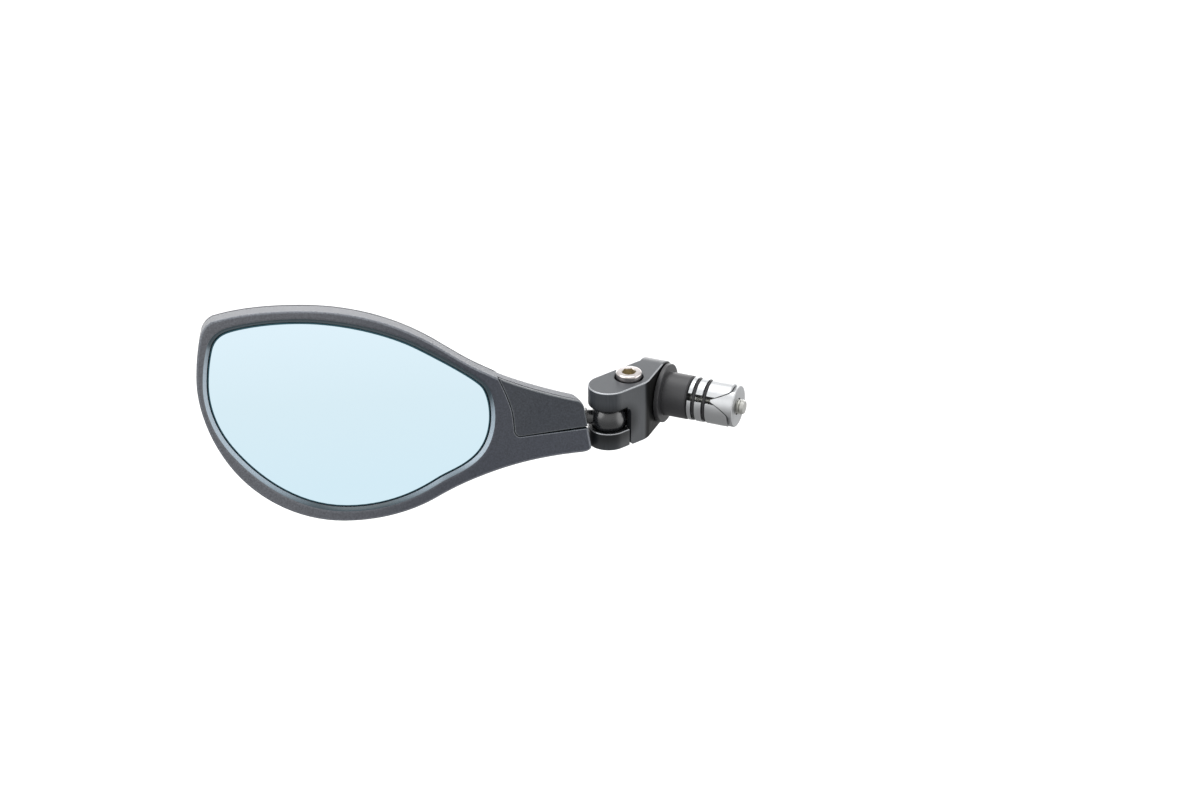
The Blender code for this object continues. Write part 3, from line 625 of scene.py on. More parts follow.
def make_anodised(name, pale, rough, wear_and_highlight=0.0):
    """Black anodised aluminium: faint upright brushing, with painted shade on faces turned to the bar and
    near the ball.

    Where it faces up, an edge shows bare metal to a given degree: partly wear, and partly a painted highlight
    from the light above.
    """
    made, nodes, shader = new_material(name, Roughness=rough, IOR=1.6)
    streaks = nodes.noise(1.0, 4.0, 0.6, nodes.stretched((2600, 2600, 60)))
    fine = nodes.noise(3000.0, 2.0)
    tone = nodes.ranged(streaks, 0.3, 0.7, 0.0, 1.0)
    colours = [tuple(channel * pale for channel in colour) + (1,) for colour in ANODISED_TONES]
    colour = nodes.mix(tone, *colours)
    facing = nodes.parts(nodes.normal())
    distance = nodes.vector_maths("DISTANCE", nodes.place(), BALL, "Value")
    # Painted shade where faces turn towards the bar, shaded by the grip, and near the ball; it also dims
    # their reflections.
    painted_shade = nodes.ranged(facing[0], 0.90, 0.98, 0.0, 1.0, smooth=True)
    painted_shade = nodes.maths("MAXIMUM", painted_shade, nodes.ranged(distance, *BALL_PAINTED_SHADE, 0.7, 0.0, smooth=True))
    colour = nodes.mix(painted_shade, colour, grey(0.006))
    # Pale bare metal on up-facing edges: partly wear, partly a painted highlight.
    bare_and_highlight = nodes.ranged(facing[2], 0.15, 0.70, 0.0, wear_and_highlight, smooth=True)
    nodes.put(shader.inputs["Base Color"], nodes.mix(bare_and_highlight, colour, (0.55, 0.56, 0.58, 1)))
    nodes.put(shader.inputs["Metallic"], bare_and_highlight)
    nodes.put(shader.inputs["Specular IOR Level"], nodes.ranged(painted_shade, 0, 1, 0.5, 0.08))
    nodes.put(shader.inputs["Roughness"], nodes.ranged(streaks, 0.3, 0.7, rough * 0.85, rough * 1.2))
    normal = nodes.bump(streaks, 0.10, 0.00006, nodes.soft_edges(0.00022))
    nodes.put(shader.inputs["Normal"], nodes.bump(fine, 0.10, 0.00004, normal))
    return made


def make_mirror(name):
    """Blue tinted mirror, with painted reflection: a little paler towards its top and where it is seen askew.
    """
    made, nodes, shader = new_material(name, Metallic=1.0, Roughness=0.0)
    height = nodes.parts(nodes.place())[2]
    low, middle, high = GLASS_TINT_Z
    tint = nodes.mix(nodes.ranged(height, low, middle, 0, 1), GLASS_TINTS[0], GLASS_TINTS[1])
    tint = nodes.mix(nodes.ranged(height, middle, high, 0, 1), tint, GLASS_TINTS[2])
    # Painted reflection: paler where the glass is seen askew.
    facing = nodes.add("ShaderNodeLayerWeight", {"Blend": 0.3}).outputs["Facing"]
    nodes.put(shader.inputs["Base Color"], nodes.mix(facing, tint, (0.85, 0.93, 0.97, 1)))
    return made


def make_metal(name, colour, rough, scale=(2000, 2000, 2000), depth=0.08, metallic=1.0, gloss=1.5):
    """Machined or plated metal, with fine tool marks stretched along one way."""
    made, nodes, shader = new_material(name, Metallic=metallic, IOR=gloss)
    marks = nodes.noise(1.0, 3.0, 0.6, nodes.stretched(scale))
    cloud = nodes.noise(150.0, 3.0)
    darker = tuple(channel * 0.78 for channel in colour)
    nodes.put(shader.inputs["Base Color"], nodes.mix(cloud, (*colour, 1), (*darker, 1)))
    nodes.put(shader.inputs["Roughness"], nodes.ranged(marks, 0.3, 0.7, rough * 0.8, rough * 1.25))
    nodes.put(shader.inputs["Normal"], nodes.bump(marks, depth, 0.00005, nodes.soft_edges(0.00012)))
    return made


def make_bolt_steel(name):
    """The clamp bolt's steel, with old grease inside its socket."""
    made, nodes, shader = new_material(name, Metallic=1.0, Roughness=0.24)
    x, y, z = nodes.parts(nodes.vector_maths("SUBTRACT", nodes.place(), BOLT_AXIS))
    squares = [nodes.maths("MULTIPLY", side, side) for side in (x, y)]
    radius = nodes.maths("SQRT", nodes.maths("ADD", *squares))
    rim = BAR_AXIS.z - BOLT_AXIS.z + CLAMP_HEAD_Z[1] * MM
    inside = nodes.ranged(radius, 0.0028, 0.0030, 1, 0)
    inside = nodes.maths("MULTIPLY", inside, nodes.ranged(z, rim - 0.0004, rim - 0.0001, 1, 0))
    cloud = nodes.noise(500.0, 3.0)
    steel = nodes.mix(cloud, (0.66, 0.62, 0.61, 1), (0.50, 0.46, 0.45, 1))
    grease = nodes.mix(cloud, (0.36, 0.31, 0.20, 1), (0.64, 0.57, 0.42, 1))
    nodes.put(shader.inputs["Base Color"], nodes.mix(inside, steel, grease))
    nodes.put(shader.inputs["Roughness"], nodes.ranged(inside, 0, 1, 0.22, 0.45))
    skin = nodes.bump(nodes.noise(2500.0), 0.08, 0.00004, nodes.soft_edges(0.00015))
    nodes.put(shader.inputs["Normal"], skin)
    return made


def make_soft(name, colour, rough, scale, depth):
    """Nylon, rubber or foam: an even colour with a fine bumpy skin."""
    made, nodes, shader = new_material(name, Roughness=rough)
    skin = nodes.noise(scale, 4.0, 0.6)
    paler = tuple(min(1.0, channel * 1.5 + 0.01) for channel in colour)
    nodes.put(shader.inputs["Base Color"], nodes.mix(skin, (*colour, 1), (*paler, 1)))
    nodes.put(shader.inputs["Roughness"], nodes.ranged(skin, 0.3, 0.7, rough * 0.85, min(1.0, rough * 1.1)))
    nodes.put(shader.inputs["Normal"], nodes.bump(skin, depth, 0.0001, nodes.soft_edges(0.00015)))
    return made


# Fasteners


def thread_profile(radius, top, bottom, pitch=1.0):
    """The crests and roots of a thread, top to bottom, as rings."""
    points = []
    depth = 0.54 * pitch
    height = top
    while height - pitch > bottom:
        points += [(radius, height), (radius, height - 0.12 * pitch), (radius - depth, height - 0.55 * pitch)]
        height -= pitch
    return points + [(radius, height)]


def socket_screw(name, head, shank, key, axis=UPRIGHT, plain=1.0, pitch=1.0):
    """A socket-head screw: its head's underside lies at zero, with the head up and the threaded shank down.

    The head and the shank are each given as (radius, length). The key is the socket's width over its flats.
    """
    head_r, top = head
    shank_r, length = shank
    edge = 0.14 * head_r
    profile = [(0, top), (0.62 * head_r, top), (0.66 * head_r, top - 0.02)]
    profile += arc(edge, 90, 0, 6, (head_r - edge, top - edge))
    profile += [(head_r, 0.15), (head_r - 0.15, 0), (shank_r, 0), (shank_r, -plain)]
    tip = 0.5
    profile += thread_profile(shank_r, -plain, tip - length, pitch)[1:]
    profile += [(shank_r - tip, -length), (0, -length)]
    screw = turned(name, profile, 64, axis)
    socket = cylinder("socket", key / math.sqrt(3), (0.45 * top, top + 1), sides=6, axis=axis)
    lead = cone("lead", (key * 0.5, key * 0.5 + 0.8), (top - 0.35, top + 0.45), sides=48, axis=axis)
    drill = cone("drill", (0.05, key * 0.48), (0.36 * top, 0.47 * top), sides=32, axis=axis)
    return cut(screw, socket, lead, drill)


def small_screw(node, length, at):
    head = (SMALL_HEAD_R, SMALL_HEAD_HEIGHT)
    turn = Matrix.Translation(at) @ Matrix.Rotation(math.radians(180), 4, "X")
    screw = socket_screw(node, head, (SMALL_SCREW_R, length), 2.0, turn, plain=0.3, pitch=0.5)
    finish(screw, node, HEAD, "head", STEEL)


def washer(name, inner, outer, span, axis=UPRIGHT, at=(0, 0, 0)):
    low, high = span
    edge = 0.15
    profile = [(inner, high), (outer - edge, high), (outer, high - edge)]
    profile += [(outer, low + edge), (outer - edge, low), (inner, low)]
    return turned(name, profile, 72, Matrix.Translation(at) @ axis, closed=True)


# Head


def cover_outline(room=0.0):
    """The neck cover's edge. Room widens it past the parting line, and well past the head's outer edge."""
    past = 12 * room
    return (
        (-8.6 + past, -2.4 - room, 102, 0, 2.5),
        (-10.1 + past, 4.6 + past, 102, 2.5, 1.8),
        (-13.4 + past, 7.8 + past, 170, 1.8, 6.0),
        (-43.2 - room, 16.4 + past, 156, 9.0, 0),
        (-43.2 - room, 16.4, 156, 0, 0),
        (-37.3 - room, 1.6, 278, 5.0, 1.5),
        (-36.7 - room, -3.6, 272, 2.0, 1.5),
        (-34.2, -6.3 - room, 9, 1.5, 3.0),
    )


def glass_pocket():
    """The glass's room and its sloped lip, which rounds over into the front of the rim."""
    edge = outline_points(GLASS)
    steps = [(0.0, WEB_FRONT_Z), (0.0, CHAMFER_FOOT_Z), (0.35, 4.86), (0.95, 5.42), (1.4, 5.74)]
    steps += [(1.7, 5.90), (2.0, 5.985), (2.4, 6.04), (2.8, 6.3)]
    return loft("glass_pocket", [at_height(grown(edge, out), z) for out, z in steps])


def end_relief():
    """A cutter that slopes the neck's end back behind its front edge, clear of the arm's round end."""
    relief = box("end_relief", (0, -30, -30), (30, 30, 10))
    heading = Matrix.Rotation(math.radians(END_HEADING - 90), 4, "Z")
    slope = Matrix.Rotation(math.radians(END_SLOPE), 4, "Y")
    relief.data.transform(Matrix.Translation(END_RELIEF_AT) @ heading @ slope)
    return relief


def make_frame():
    frame_piece = plate("head_frame", outline_points(OVAL + NECK_TIP), FRAME_BACK_Z, FRONT_Z)
    soften(frame_piece, FRAME_ROUNDING, 5)
    shell_edge = scaled(outline_points(SHELL_OUTLINE), REAR_HOLLOW_SCALE)
    cut(frame_piece, plate("rear_hollow", shell_edge, -8, WEB_BACK_Z), glass_pocket())
    depth = NECK_BACK_TOP_Z - NECK_BACK_Z
    turns = (0, 15, 30, 45, 58, 70, 80)
    edge = outline_points(NECK_BACK)
    neck_rings = dome_rings(edge, NECK_CENTRE, NECK_BACK_TOP_Z, depth, NECK_FULLNESS, turns)
    join(frame_piece, loft("neck_back", neck_rings))
    cut(frame_piece, end_relief())
    for x, y in SHELL_SCREWS:
        join(frame_piece, cylinder("boss", FRAME_BOSS_R, (FRAME_BACK_Z, 0), sides=48, at=(x, y, 0)))
        cut(frame_piece, cylinder("boss_hole", SMALL_HOLE_R, (-8, -0.4), sides=32, at=(x, y, 0)))
    at = (*COVER_SCREW, 0)
    cut(
        frame_piece,
        plate("cover_recess", outline_points(cover_outline(GAP)), COVER_BACK_Z - 0.35, 8),
        box("nut_pocket", (-23.0, -5.3, -5.3), (-14.6, 5.3, 4.9)),
        cylinder("stud_hole", SHANK_R + GAP, (-16, -5), axis=ALONG_X, sides=48),
        cylinder("cover_boss_room", COVER_BOSS_ROOM_R, (-1.4, 8), sides=48, at=at),
        cylinder("cover_screw_hole", SCREW_PASSAGE_R, (-10, 0), sides=32, at=at),
        cylinder("cover_screw_recess", SMALL_RECESS_R, (-10, COVER_SCREW_Z + GAP), sides=48, at=at),
    )
    # These rounded front edges take slot two, the painted edge highlight.
    soften_where(frame_piece, 0.3, lambda point: abs(point.z - FRONT_Z) < 0.02 and point.x > NECK_START_X)
    finish(frame_piece, "head_frame", HEAD, "head", HOUSING, HOUSING_EDGE_HIGHLIGHT)
    paint_lip(frame_piece)


def paint_lip(frame_piece):
    """Gives the sloped lip round the glass, which is polished, a finish of its own, with painted highlight
    and shade.
    """
    frame_piece.data.materials.append(RIM_LIP)
    lip = len(frame_piece.data.materials) - 1
    to_head = HEAD.inverted()
    centre = HEAD @ HEAD_CENTRE
    for face in frame_piece.data.polygons:
        height = (to_head @ face.center).z
        if CHAMFER_FOOT_Z - 0.1 < height < FRONT_Z - 0.2 and face.normal.dot(face.center - centre) < 0:
            face.material_index = lip


def make_shell():
    edge = outline_points(SHELL_OUTLINE)
    turns = (0, 8, 16, 25, 35, 45, 55, 65, 74, 82, 87)
    rings = dome_rings(edge, HEAD_CENTRE, SHELL_RIM_Z - SHELL_LIP, SHELL_DEPTH, SHELL_FULLNESS, turns)
    rings.append(at_height(edge, SHELL_RIM_Z))
    shell = loft("head_shell", rings, caps=(True, False))
    modify(shell, "SOLIDIFY", thickness=SHELL_WALL, offset=-1)
    settle(shell)
    for x, y in SHELL_SCREWS:
        at = (x, y, 0)
        join(shell, cylinder("boss", SHELL_BOSS_R, (-8.6, SHELL_RIM_Z), sides=48, at=at))
        cut(
            shell,
            cylinder("hole", SCREW_PASSAGE_R, (-12, -4), sides=32, at=at),
            cylinder("recess", SMALL_RECESS_R, (-12, SHELL_SCREW_Z + GAP), sides=48, at=at),
        )
    finish(shell, "head_shell", HEAD, "head", HOUSING)
    for number, (x, y) in enumerate(SHELL_SCREWS, 1):
        small_screw(f"shell_screw_{number}", SHELL_SCREW_LENGTH, (x, y, SHELL_SCREW_Z))


def make_cover():
    cover = plate("neck_cover", outline_points(cover_outline()), COVER_BACK_Z, FRONT_Z)
    soften(cover, COVER_ROUNDING, 4, 50)
    at = (*COVER_SCREW, 0)
    join(cover, cylinder("boss", COVER_BOSS_R, (-1.0, 4.5), sides=48, at=at))
    cut(cover, cylinder("boss_hole", SMALL_HOLE_R, (-3, 4.9), sides=32, at=at))
    cut(cover, box("nut_relief", (-23.2, -5.5, 0.0), (-14.4, 5.5, 5.0)), end_relief())
    finish(cover, "neck_cover", HEAD, "head", COVER, COVER_EDGE_HIGHLIGHT)
    small_screw("neck_cover_screw", COVER_SCREW_LENGTH, (*COVER_SCREW, COVER_SCREW_Z))


def make_glass():
    edge = scaled(outline_points(GLASS), GLASS_SCALE)
    ground = 0.25
    steps = [(-ground, GLASS_BACK_Z), (0.0, GLASS_BACK_Z + ground), (0.0, GLASS_FRONT_Z - 0.4)]
    steps += [(-GLASS_BEVEL, GLASS_FRONT_Z)]
    glass = loft("mirror_glass", [at_height(grown(edge, out), z) for out, z in steps])
    for face in glass.data.polygons:
        if abs(face.normal.z) < 0.99:
            face.material_index = 1
    finish(glass, "mirror_glass", HEAD, "head", MIRROR, GLASS_EDGE)
    pad = plate("glass_pad", scaled(outline_points(GLASS), PAD_SCALE), *PAD_Z)
    finish(soften(pad, 0.15, 2), "glass_pad", HEAD, "head", FOAM)


def make_stud_nut():
    radius = 8.0 / math.sqrt(3)
    nut = cylinder("stud_nut", radius, NUT_X, sides=6, axis=ALONG_X)
    low, high = NUT_X
    round_off = [(0, high), (3.6, high), (radius, high - 0.6), (radius, low + 0.6), (3.6, low), (0, low)]
    combine(nut, [turned("round_off", round_off, 96, ALONG_X)], "INTERSECT")
    cut(nut, cylinder("hole", SHANK_R + GAP, (-24, -14), sides=48, axis=ALONG_X))
    finish(nut, "stud_nut", HEAD, "head", ZINC)
    ring = washer("stud_washer", SHANK_R + GAP, 4.7, STUD_WASHER_X, ALONG_X)
    finish(ring, "stud_washer", HEAD, "head", STEEL)


# Ball joint and arm


def make_ball_stud():
    join_angle = math.degrees(math.asin(STEM_R / BALL_R))
    front, back = COLLAR_X
    edge = 0.12
    profile = arc(BALL_R, 90, -90 + join_angle, 48)
    profile += [(STEM_R, front), (COLLAR_R - edge, front), (COLLAR_R, front - edge), (COLLAR_R, back + edge)]
    profile += [(COLLAR_R - edge, back), (SHANK_R, back)]
    profile += thread_profile(SHANK_R, back - 3.0, SHANK_END + 0.5, 0.8)
    profile += [(SHANK_R - 0.5, SHANK_END), (0, SHANK_END)]
    stud = turned("ball_stud", profile, 96, ALONG_X)
    finish(stud, "ball_stud", HEAD, "stud", BALL_BLACK, smooth=40)


def make_upper_seat():
    low, high = (z - BALL_Z for z in UPPER_SEAT_Z)
    rim = math.degrees(math.asin(low / SEAT_R))
    outside = [(0, high), (UPPER_SEAT_R, high), (UPPER_SEAT_R, low)]
    seat = turned("upper_ball_seat", outside + arc(SEAT_R, rim, 90, 16), 96)
    finish(seat, "upper_ball_seat", SEAT, "seat", NYLON)


def make_lower_seat():
    low, high = LOWER_SEAT_Z
    rim = math.degrees(math.asin((high - BALL_Z) / SEAT_R))
    outside = [(LOWER_SEAT_R, high), (LOWER_SEAT_R, low), (0, low)]
    seat = turned("lower_ball_seat", arc(SEAT_R, -90, rim, 16, (0, BALL_Z)) + outside, 96)
    finish(seat, "lower_ball_seat", PLAN, "jaw", NYLON)


def round_end(steps=48):
    """The half-round end of the arm and jaw in plan, from their left side round to their right."""
    turns = [math.pi / 2 + math.pi * i / steps for i in range(steps + 1)]
    return [Vector((ARM_HALF_WIDTH * math.cos(a), ARM_HALF_WIDTH * math.sin(a), 0)) for a in turns]


def arm_outline():
    """The arm's plan in its own frame: x along the arm from the ball's axis, y to its left."""
    to_plan = PLAN.inverted() @ BAR
    face_normal = (to_plan.to_3x3() @ Vector((1, 0, 0))).normalized()
    face_point = to_plan @ Vector((ARM_FACE_X, 0, 0))
    wide = ARM_HALF_WIDTH
    points = round_end()
    corner_s = face_point.x - (-wide - face_point.y) * face_normal.y / face_normal.x
    corner = Vector((corner_s, -wide, 0))
    up_face = Vector((-face_normal.y, face_normal.x, 0))
    before, after = corner - Vector((ARM_CORNER_R, 0, 0)), corner + up_face * ARM_CORNER_R
    points += interpolate_bezier(before, before.lerp(corner, 0.6), after.lerp(corner, 0.6), after, 13)
    past_axis = to_plan @ Vector((0, PAST_AXIS_Y, 0))
    points.append(line_at(after, up_face, past_axis, face_normal))
    points.append(line_at(Vector((0, wide, 0)), Vector((1, 0, 0)), past_axis, face_normal))
    return points


def line_at(point, direction, other, other_direction):
    """Where two lines in plan cross."""
    turned_by = direction.x * other_direction.y - direction.y * other_direction.x
    between = other - point
    share = (between.x * other_direction.y - between.y * other_direction.x) / turned_by
    return point + direction * share


def leg_corner(wide):
    """A cutter that rounds the lower front corner of the leg, all the way across."""
    low, out, radius = -ARM_HALF_HEIGHT, 3.0, LEG_CORNER_R
    profile = [(LEG_START - out, low - out), (LEG_START + radius, low - out)]
    profile += arc(radius, 270, 180, 10, (LEG_START + radius, low + radius))
    profile += [(LEG_START - out, low + radius)]
    corner = plate("leg_corner", [Vector((x, z, 0)) for x, z in profile], -wide, wide)
    corner.data.transform(Matrix.Rotation(math.radians(90), 4, "X"))
    return corner


def on_block_rim(point):
    """True on the lower rim of the block's round end, over the ball."""
    outside = math.hypot(min(point.x, 0), point.y) > ARM_HALF_WIDTH - 0.05
    return outside and point.x < LEG_START - BLOCK_RIM_R and abs(point.z - BLOCK_RIM_Z) < 0.05


def make_arm():
    arm = plate("knuckle_arm", arm_outline(), -ARM_HALF_HEIGHT, ARM_HALF_HEIGHT)
    soften(arm, 0.5, 4, 40)
    to_bar = PLAN.inverted() @ BAR
    beyond_axis = box("beyond_axis", (-60, 0, -20), (40, 40, 20))
    beyond_axis.data.transform(to_bar)
    cut(arm, beyond_axis)
    edge = 0.5
    hub_profile = [(0, ARM_FACE_X)]
    hub_profile += arc(edge, 90, 0, 4, (ARM_HALF_HEIGHT - edge, ARM_FACE_X - edge))
    hub_profile += arc(edge, 0, -90, 4, (ARM_HALF_HEIGHT - edge, HUB_OUTER_X + edge))
    hub_profile += [(0, HUB_OUTER_X)]
    hub = turned("hub", hub_profile, 160, ALONG_X)
    hub.data.transform(to_bar)
    join(arm, hub)
    wide = ARM_HALF_WIDTH + 2
    half = CHANNEL_HALF_WIDTH
    opening = soften(box("jaw_room", (-wide, -wide, -15), (LEG_START, wide, BLOCK_RIM_Z)), 2.0, 8)
    cut(arm, opening, box("tongue_channel", (0, -half, -15), (CHANNEL_END, half, BLOCK_RIM_Z - 0.3)))
    soften_where(arm, BLOCK_RIM_R, on_block_rim, 5, material=0)
    cut(arm, leg_corner(wide))
    at_bolt = (CLAMP_BOLT_S, 0, 0)
    top = ARM_HALF_HEIGHT
    bolt_hole = cylinder("bolt_hole", M6_R + 0.4, (-40, 5), axis=ALONG_X, sides=64)
    counterbore = cylinder("counterbore", COUNTERBORE_R, (-40, COUNTERBORE_X), axis=ALONG_X)
    outer = HUB_OUTER_X
    lead_in = cone(
        "lead_in", (COUNTERBORE_R + 0.9, COUNTERBORE_R - 0.2), (outer - 0.5, outer + 0.6), axis=ALONG_X
    )
    for cutter in (bolt_hole, counterbore, lead_in):
        cutter.data.transform(to_bar)
    recess_r = CLAMP_RECESS_R
    cut(
        arm,
        cylinder("upper_seat_room", UPPER_SEAT_R + GAP, (2, 7.0)),
        cylinder("clamp_bolt_hole", M6_R + 0.4, (0, 15), at=at_bolt, sides=64),
        cylinder("clamp_recess", recess_r, (CLAMP_RECESS_Z, 16), at=at_bolt),
        cone("recess_edge", (recess_r - 0.1, recess_r + 0.5), (top - 0.35, top + 0.25), at=at_bolt),
        bolt_hole,
        counterbore,
        lead_in,
    )
    finish(arm, "knuckle_arm", PLAN, "arm", ANODISED, ANODISED_EDGE_WEAR_AND_HIGHLIGHT)
    ring = washer("clamp_washer", M6_R + GAP, 5.2, CLAMP_WASHER_Z, at=at_bolt)
    finish(ring, "clamp_washer", PLAN, "arm", STEEL)
    ring = washer("expander_washer", M6_R + GAP, 5.5, EXPANDER_WASHER_X, ALONG_X)
    finish(ring, "expander_washer", BAR, "arm", STEEL)


def make_jaw():
    wide, narrow = ARM_HALF_WIDTH, TONGUE_HALF_WIDTH
    points = round_end()
    corners = ((JAW_SHOULDER, -wide), (JAW_SHOULDER, -narrow), (TONGUE_END, -narrow), (TONGUE_END, narrow))
    corners += ((JAW_SHOULDER, narrow), (JAW_SHOULDER, wide))
    points += [Vector((x, y, 0)) for x, y in corners]
    jaw = plate("clamp_jaw", points, JAW_BOTTOM_Z, JAW_TOP_Z)
    soften(jaw, 0.45, 4, 60)
    socket_profile = arc(SEAT_R, 90, -90, 48, (0, BALL_Z))
    rim_r = math.sqrt(SEAT_R ** 2 - (JAW_TOP_Z - BALL_Z) ** 2)
    cut(
        jaw,
        turned("jaw_socket", socket_profile, 96),
        cone("socket_edge", (rim_r - 0.3, rim_r + 0.6), (JAW_TOP_Z - 0.45, JAW_TOP_Z + 0.2)),
        cylinder("lower_seat_room", LOWER_SEAT_R + GAP, (-10.9, -6)),
        cylinder("jaw_thread", M6_R + GAP, (-15, 0), at=(CLAMP_BOLT_S, 0, 0), sides=64),
    )
    finish(jaw, "clamp_jaw", PLAN, "jaw", JAW_PAINTED_SHADE, ANODISED_EDGE_WEAR_AND_HIGHLIGHT)


def make_clamp_bolt():
    bottom, top = CLAMP_HEAD_Z
    lift = Matrix.Translation((0, 0, bottom))
    head = (M6_HEAD_R, top - bottom)
    bolt = socket_screw("clamp_bolt", head, (M6_R, CLAMP_BOLT_LENGTH), 5.0, lift, plain=4.0)
    finish(bolt, "clamp_bolt", BOLT, "clamp_bolt", BRIGHT_STEEL)


# Plug


def make_plug():
    edge = 0.35
    hole = M6_R + 0.4
    profile = [(hole, SPIGOT_END_X), (SPIGOT_R - 0.6, SPIGOT_END_X), (SPIGOT_R, SPIGOT_END_X - 0.6)]
    profile += [(SPIGOT_R, 0.0)]
    profile += arc(edge, 90, 0, 4, (FLANGE_R - edge, -edge))
    profile += arc(edge, 0, -90, 4, (FLANGE_R - edge, FLANGE_X + edge))
    profile += [(hole, FLANGE_X)]
    collar = turned("plug_collar", profile, 128, ALONG_X, closed=True)
    finish(collar, "plug_collar", BAR, "plug", NYLON)
    for number, x in enumerate(BAND_X, 1):
        radius = BAND_THICKNESS / 2
        ring = arc(radius, 180, -180, 24, (BAND_R, x))[:-1]
        band = turned("band", ring, 96, ALONG_X, closed=True)
        finish(band, f"retaining_band_{number}", BAR, "plug", RUBBER)


def three_flats(name, distances, span):
    """A three-sided wedge along X, with one flat facing up, given how far its flats are from the axis."""
    radii = [2 * distance for distance in distances]
    return cone(name, radii, span, sides=3, axis=ALONG_X, turn=-90)


def make_segments():
    low, high = SEGMENT_SPAN
    reach = 12
    half = BAND_THICKNESS / 2 + 0.2
    ramp_end_x = high + 1
    ramp_end_r = RAMP_START_R + RAMP_SLOPE * (ramp_end_x - RAMP_START_X)
    edge = 0.35
    for number in range(1, 4):
        profile = [(0, high), (SEGMENT_R - edge, high), (SEGMENT_R, high - edge)]
        profile += [(SEGMENT_R, low + edge), (SEGMENT_R - edge, low), (0, low)]
        bar = turned("segment", profile, 144, ALONG_X)
        cut(bar, box("below", (0, -reach, -reach), (RAMP_START_X + 1, reach, RAMP_START_R)))
        cut(bar, three_flats("ramp", (RAMP_START_R, ramp_end_r), (RAMP_START_X, ramp_end_x)))
        for sign in (-1, 1):
            low_y, high_y = sorted((0, sign * 2 * reach))
            outside = box("side", (0, low_y, -reach), (40, high_y, 2 * reach), -sign * SEGMENT_HALF_ANGLE)
            cut(bar, outside)
        for x in BAND_X:
            front, back = x - half, x + half
            ring = [(BAND_GROOVE_R, back), (reach, back), (reach, front), (BAND_GROOVE_R, front)]
            cut(bar, turned("groove", ring, 96, ALONG_X, closed=True))
        turn = Matrix.Rotation(math.radians(120 * (number - 1)), 4, "X")
        node = f"expander_segment_{number}"
        finish(bar, node, BAR @ turn, f"segment_{number}", ALUMINIUM)


def make_wedge_nut():
    low, high = WEDGE_SPAN
    distances = [RAMP_START_R + RAMP_SLOPE * (x - RAMP_START_X) - RAMP_GAP for x in WEDGE_SPAN]
    nut = three_flats("expander_wedge_nut", distances, WEDGE_SPAN)
    edge = 0.3
    round_off = [(0, high), (WEDGE_R - edge, high), (WEDGE_R, high - edge), (WEDGE_R, low - 1), (0, low - 1)]
    combine(nut, [turned("round_off", round_off, 128, ALONG_X)], "INTERSECT")
    cut(nut, cylinder("thread", M6_R + GAP, (10, 40), axis=ALONG_X, sides=64))
    cut(nut, cone("thread_edge", (M6_R + 0.1, M6_R + 0.9), (high - 0.3, high + 0.5), axis=ALONG_X, sides=64))
    finish(nut, "expander_wedge_nut", BAR, "wedge_nut", ALUMINIUM)


def make_expander_bolt():
    outer, inner = EXPANDER_HEAD_X
    turn = Matrix.Translation((inner, 0, 0)) @ ALONG_X @ Matrix.Rotation(math.radians(180), 4, "X")
    head = (M6_HEAD_R, inner - outer)
    bolt = socket_screw("expander_bolt", head, (M6_R, EXPANDER_BOLT_LENGTH), 4.0, turn, plain=20.0)
    finish(bolt, "expander_bolt", BAR, "expander_bolt", ZINC)


# Studio, in metres

FLOOR_HALF = 3.0
FLOOR_DROP = 0.16
FLOOR_FADE = (0.8, 1.6)
SOFTBOX_SIZE = (0.9, 0.6)
SOFTBOX_POWER = 5.0
SOFTBOX_PLACE = (-0.35, 0.45, 1.1)
SOFTBOX_AIM = (-0.06, -0.04, 0)
CAMERA_LENS = 81.9
CAMERA_AZIMUTH = 22.0
CAMERA_ELEVATION = 28.0
CAMERA_DISTANCE = 1.05
CAMERA_AIM = (-19.55, -22.26, 4.10)  # millimetres from the bar's axis

# Bright panels of the surroundings: direction, full out to this angle, gone at this angle, strength.
PANELS = (
    ((-0.37, 0.90, -0.22), 22, 40, 2.4),
    ((-0.05, 0.10, 1.00), 9, 26, 2.6),
    ((-0.62, -0.60, 0.50), 14, 34, 2.0),
    ((0.90, 0.33, 0.00), 18, 44, 1.5),
)


def make_world():
    """Soft white surroundings, dimmer below, with brighter panels behind, above and to the sides.

    The glass is a perfect mirror, and it shows the plain white of the room instead of the panels.
    """
    world = bpy.data.worlds.new("studio")
    bpy.context.scene.world = world
    world.use_nodes = True
    nodes = Nodes(world.node_tree)
    background = world.node_tree.nodes["Background"]
    toward = nodes.add("ShaderNodeTexCoord").outputs["Generated"]
    total = nodes.ranged(nodes.parts(toward)[2], -0.5, 0.35, 0.45, 0.95, smooth=True)
    for direction, inner, outer, amount in PANELS:
        along = nodes.vector_maths("DOT_PRODUCT", toward, Vector(direction).normalized(), "Value")
        cosines = [math.cos(math.radians(angle)) for angle in (outer, inner)]
        panel = nodes.ranged(along, *cosines, 0.0, amount, smooth=True)
        total = nodes.maths("ADD", total, panel)
    rays = nodes.add("ShaderNodeLightPath").outputs
    plain = nodes.maths("MAXIMUM", rays["Is Camera Ray"], rays["Is Singular Ray"])
    strength = nodes.add("ShaderNodeMix", {0: plain, 2: total, 3: 1.0})
    nodes.put(background.inputs["Strength"], strength.outputs[0])
    background.inputs["Color"].default_value = (1, 1, 1, 1)


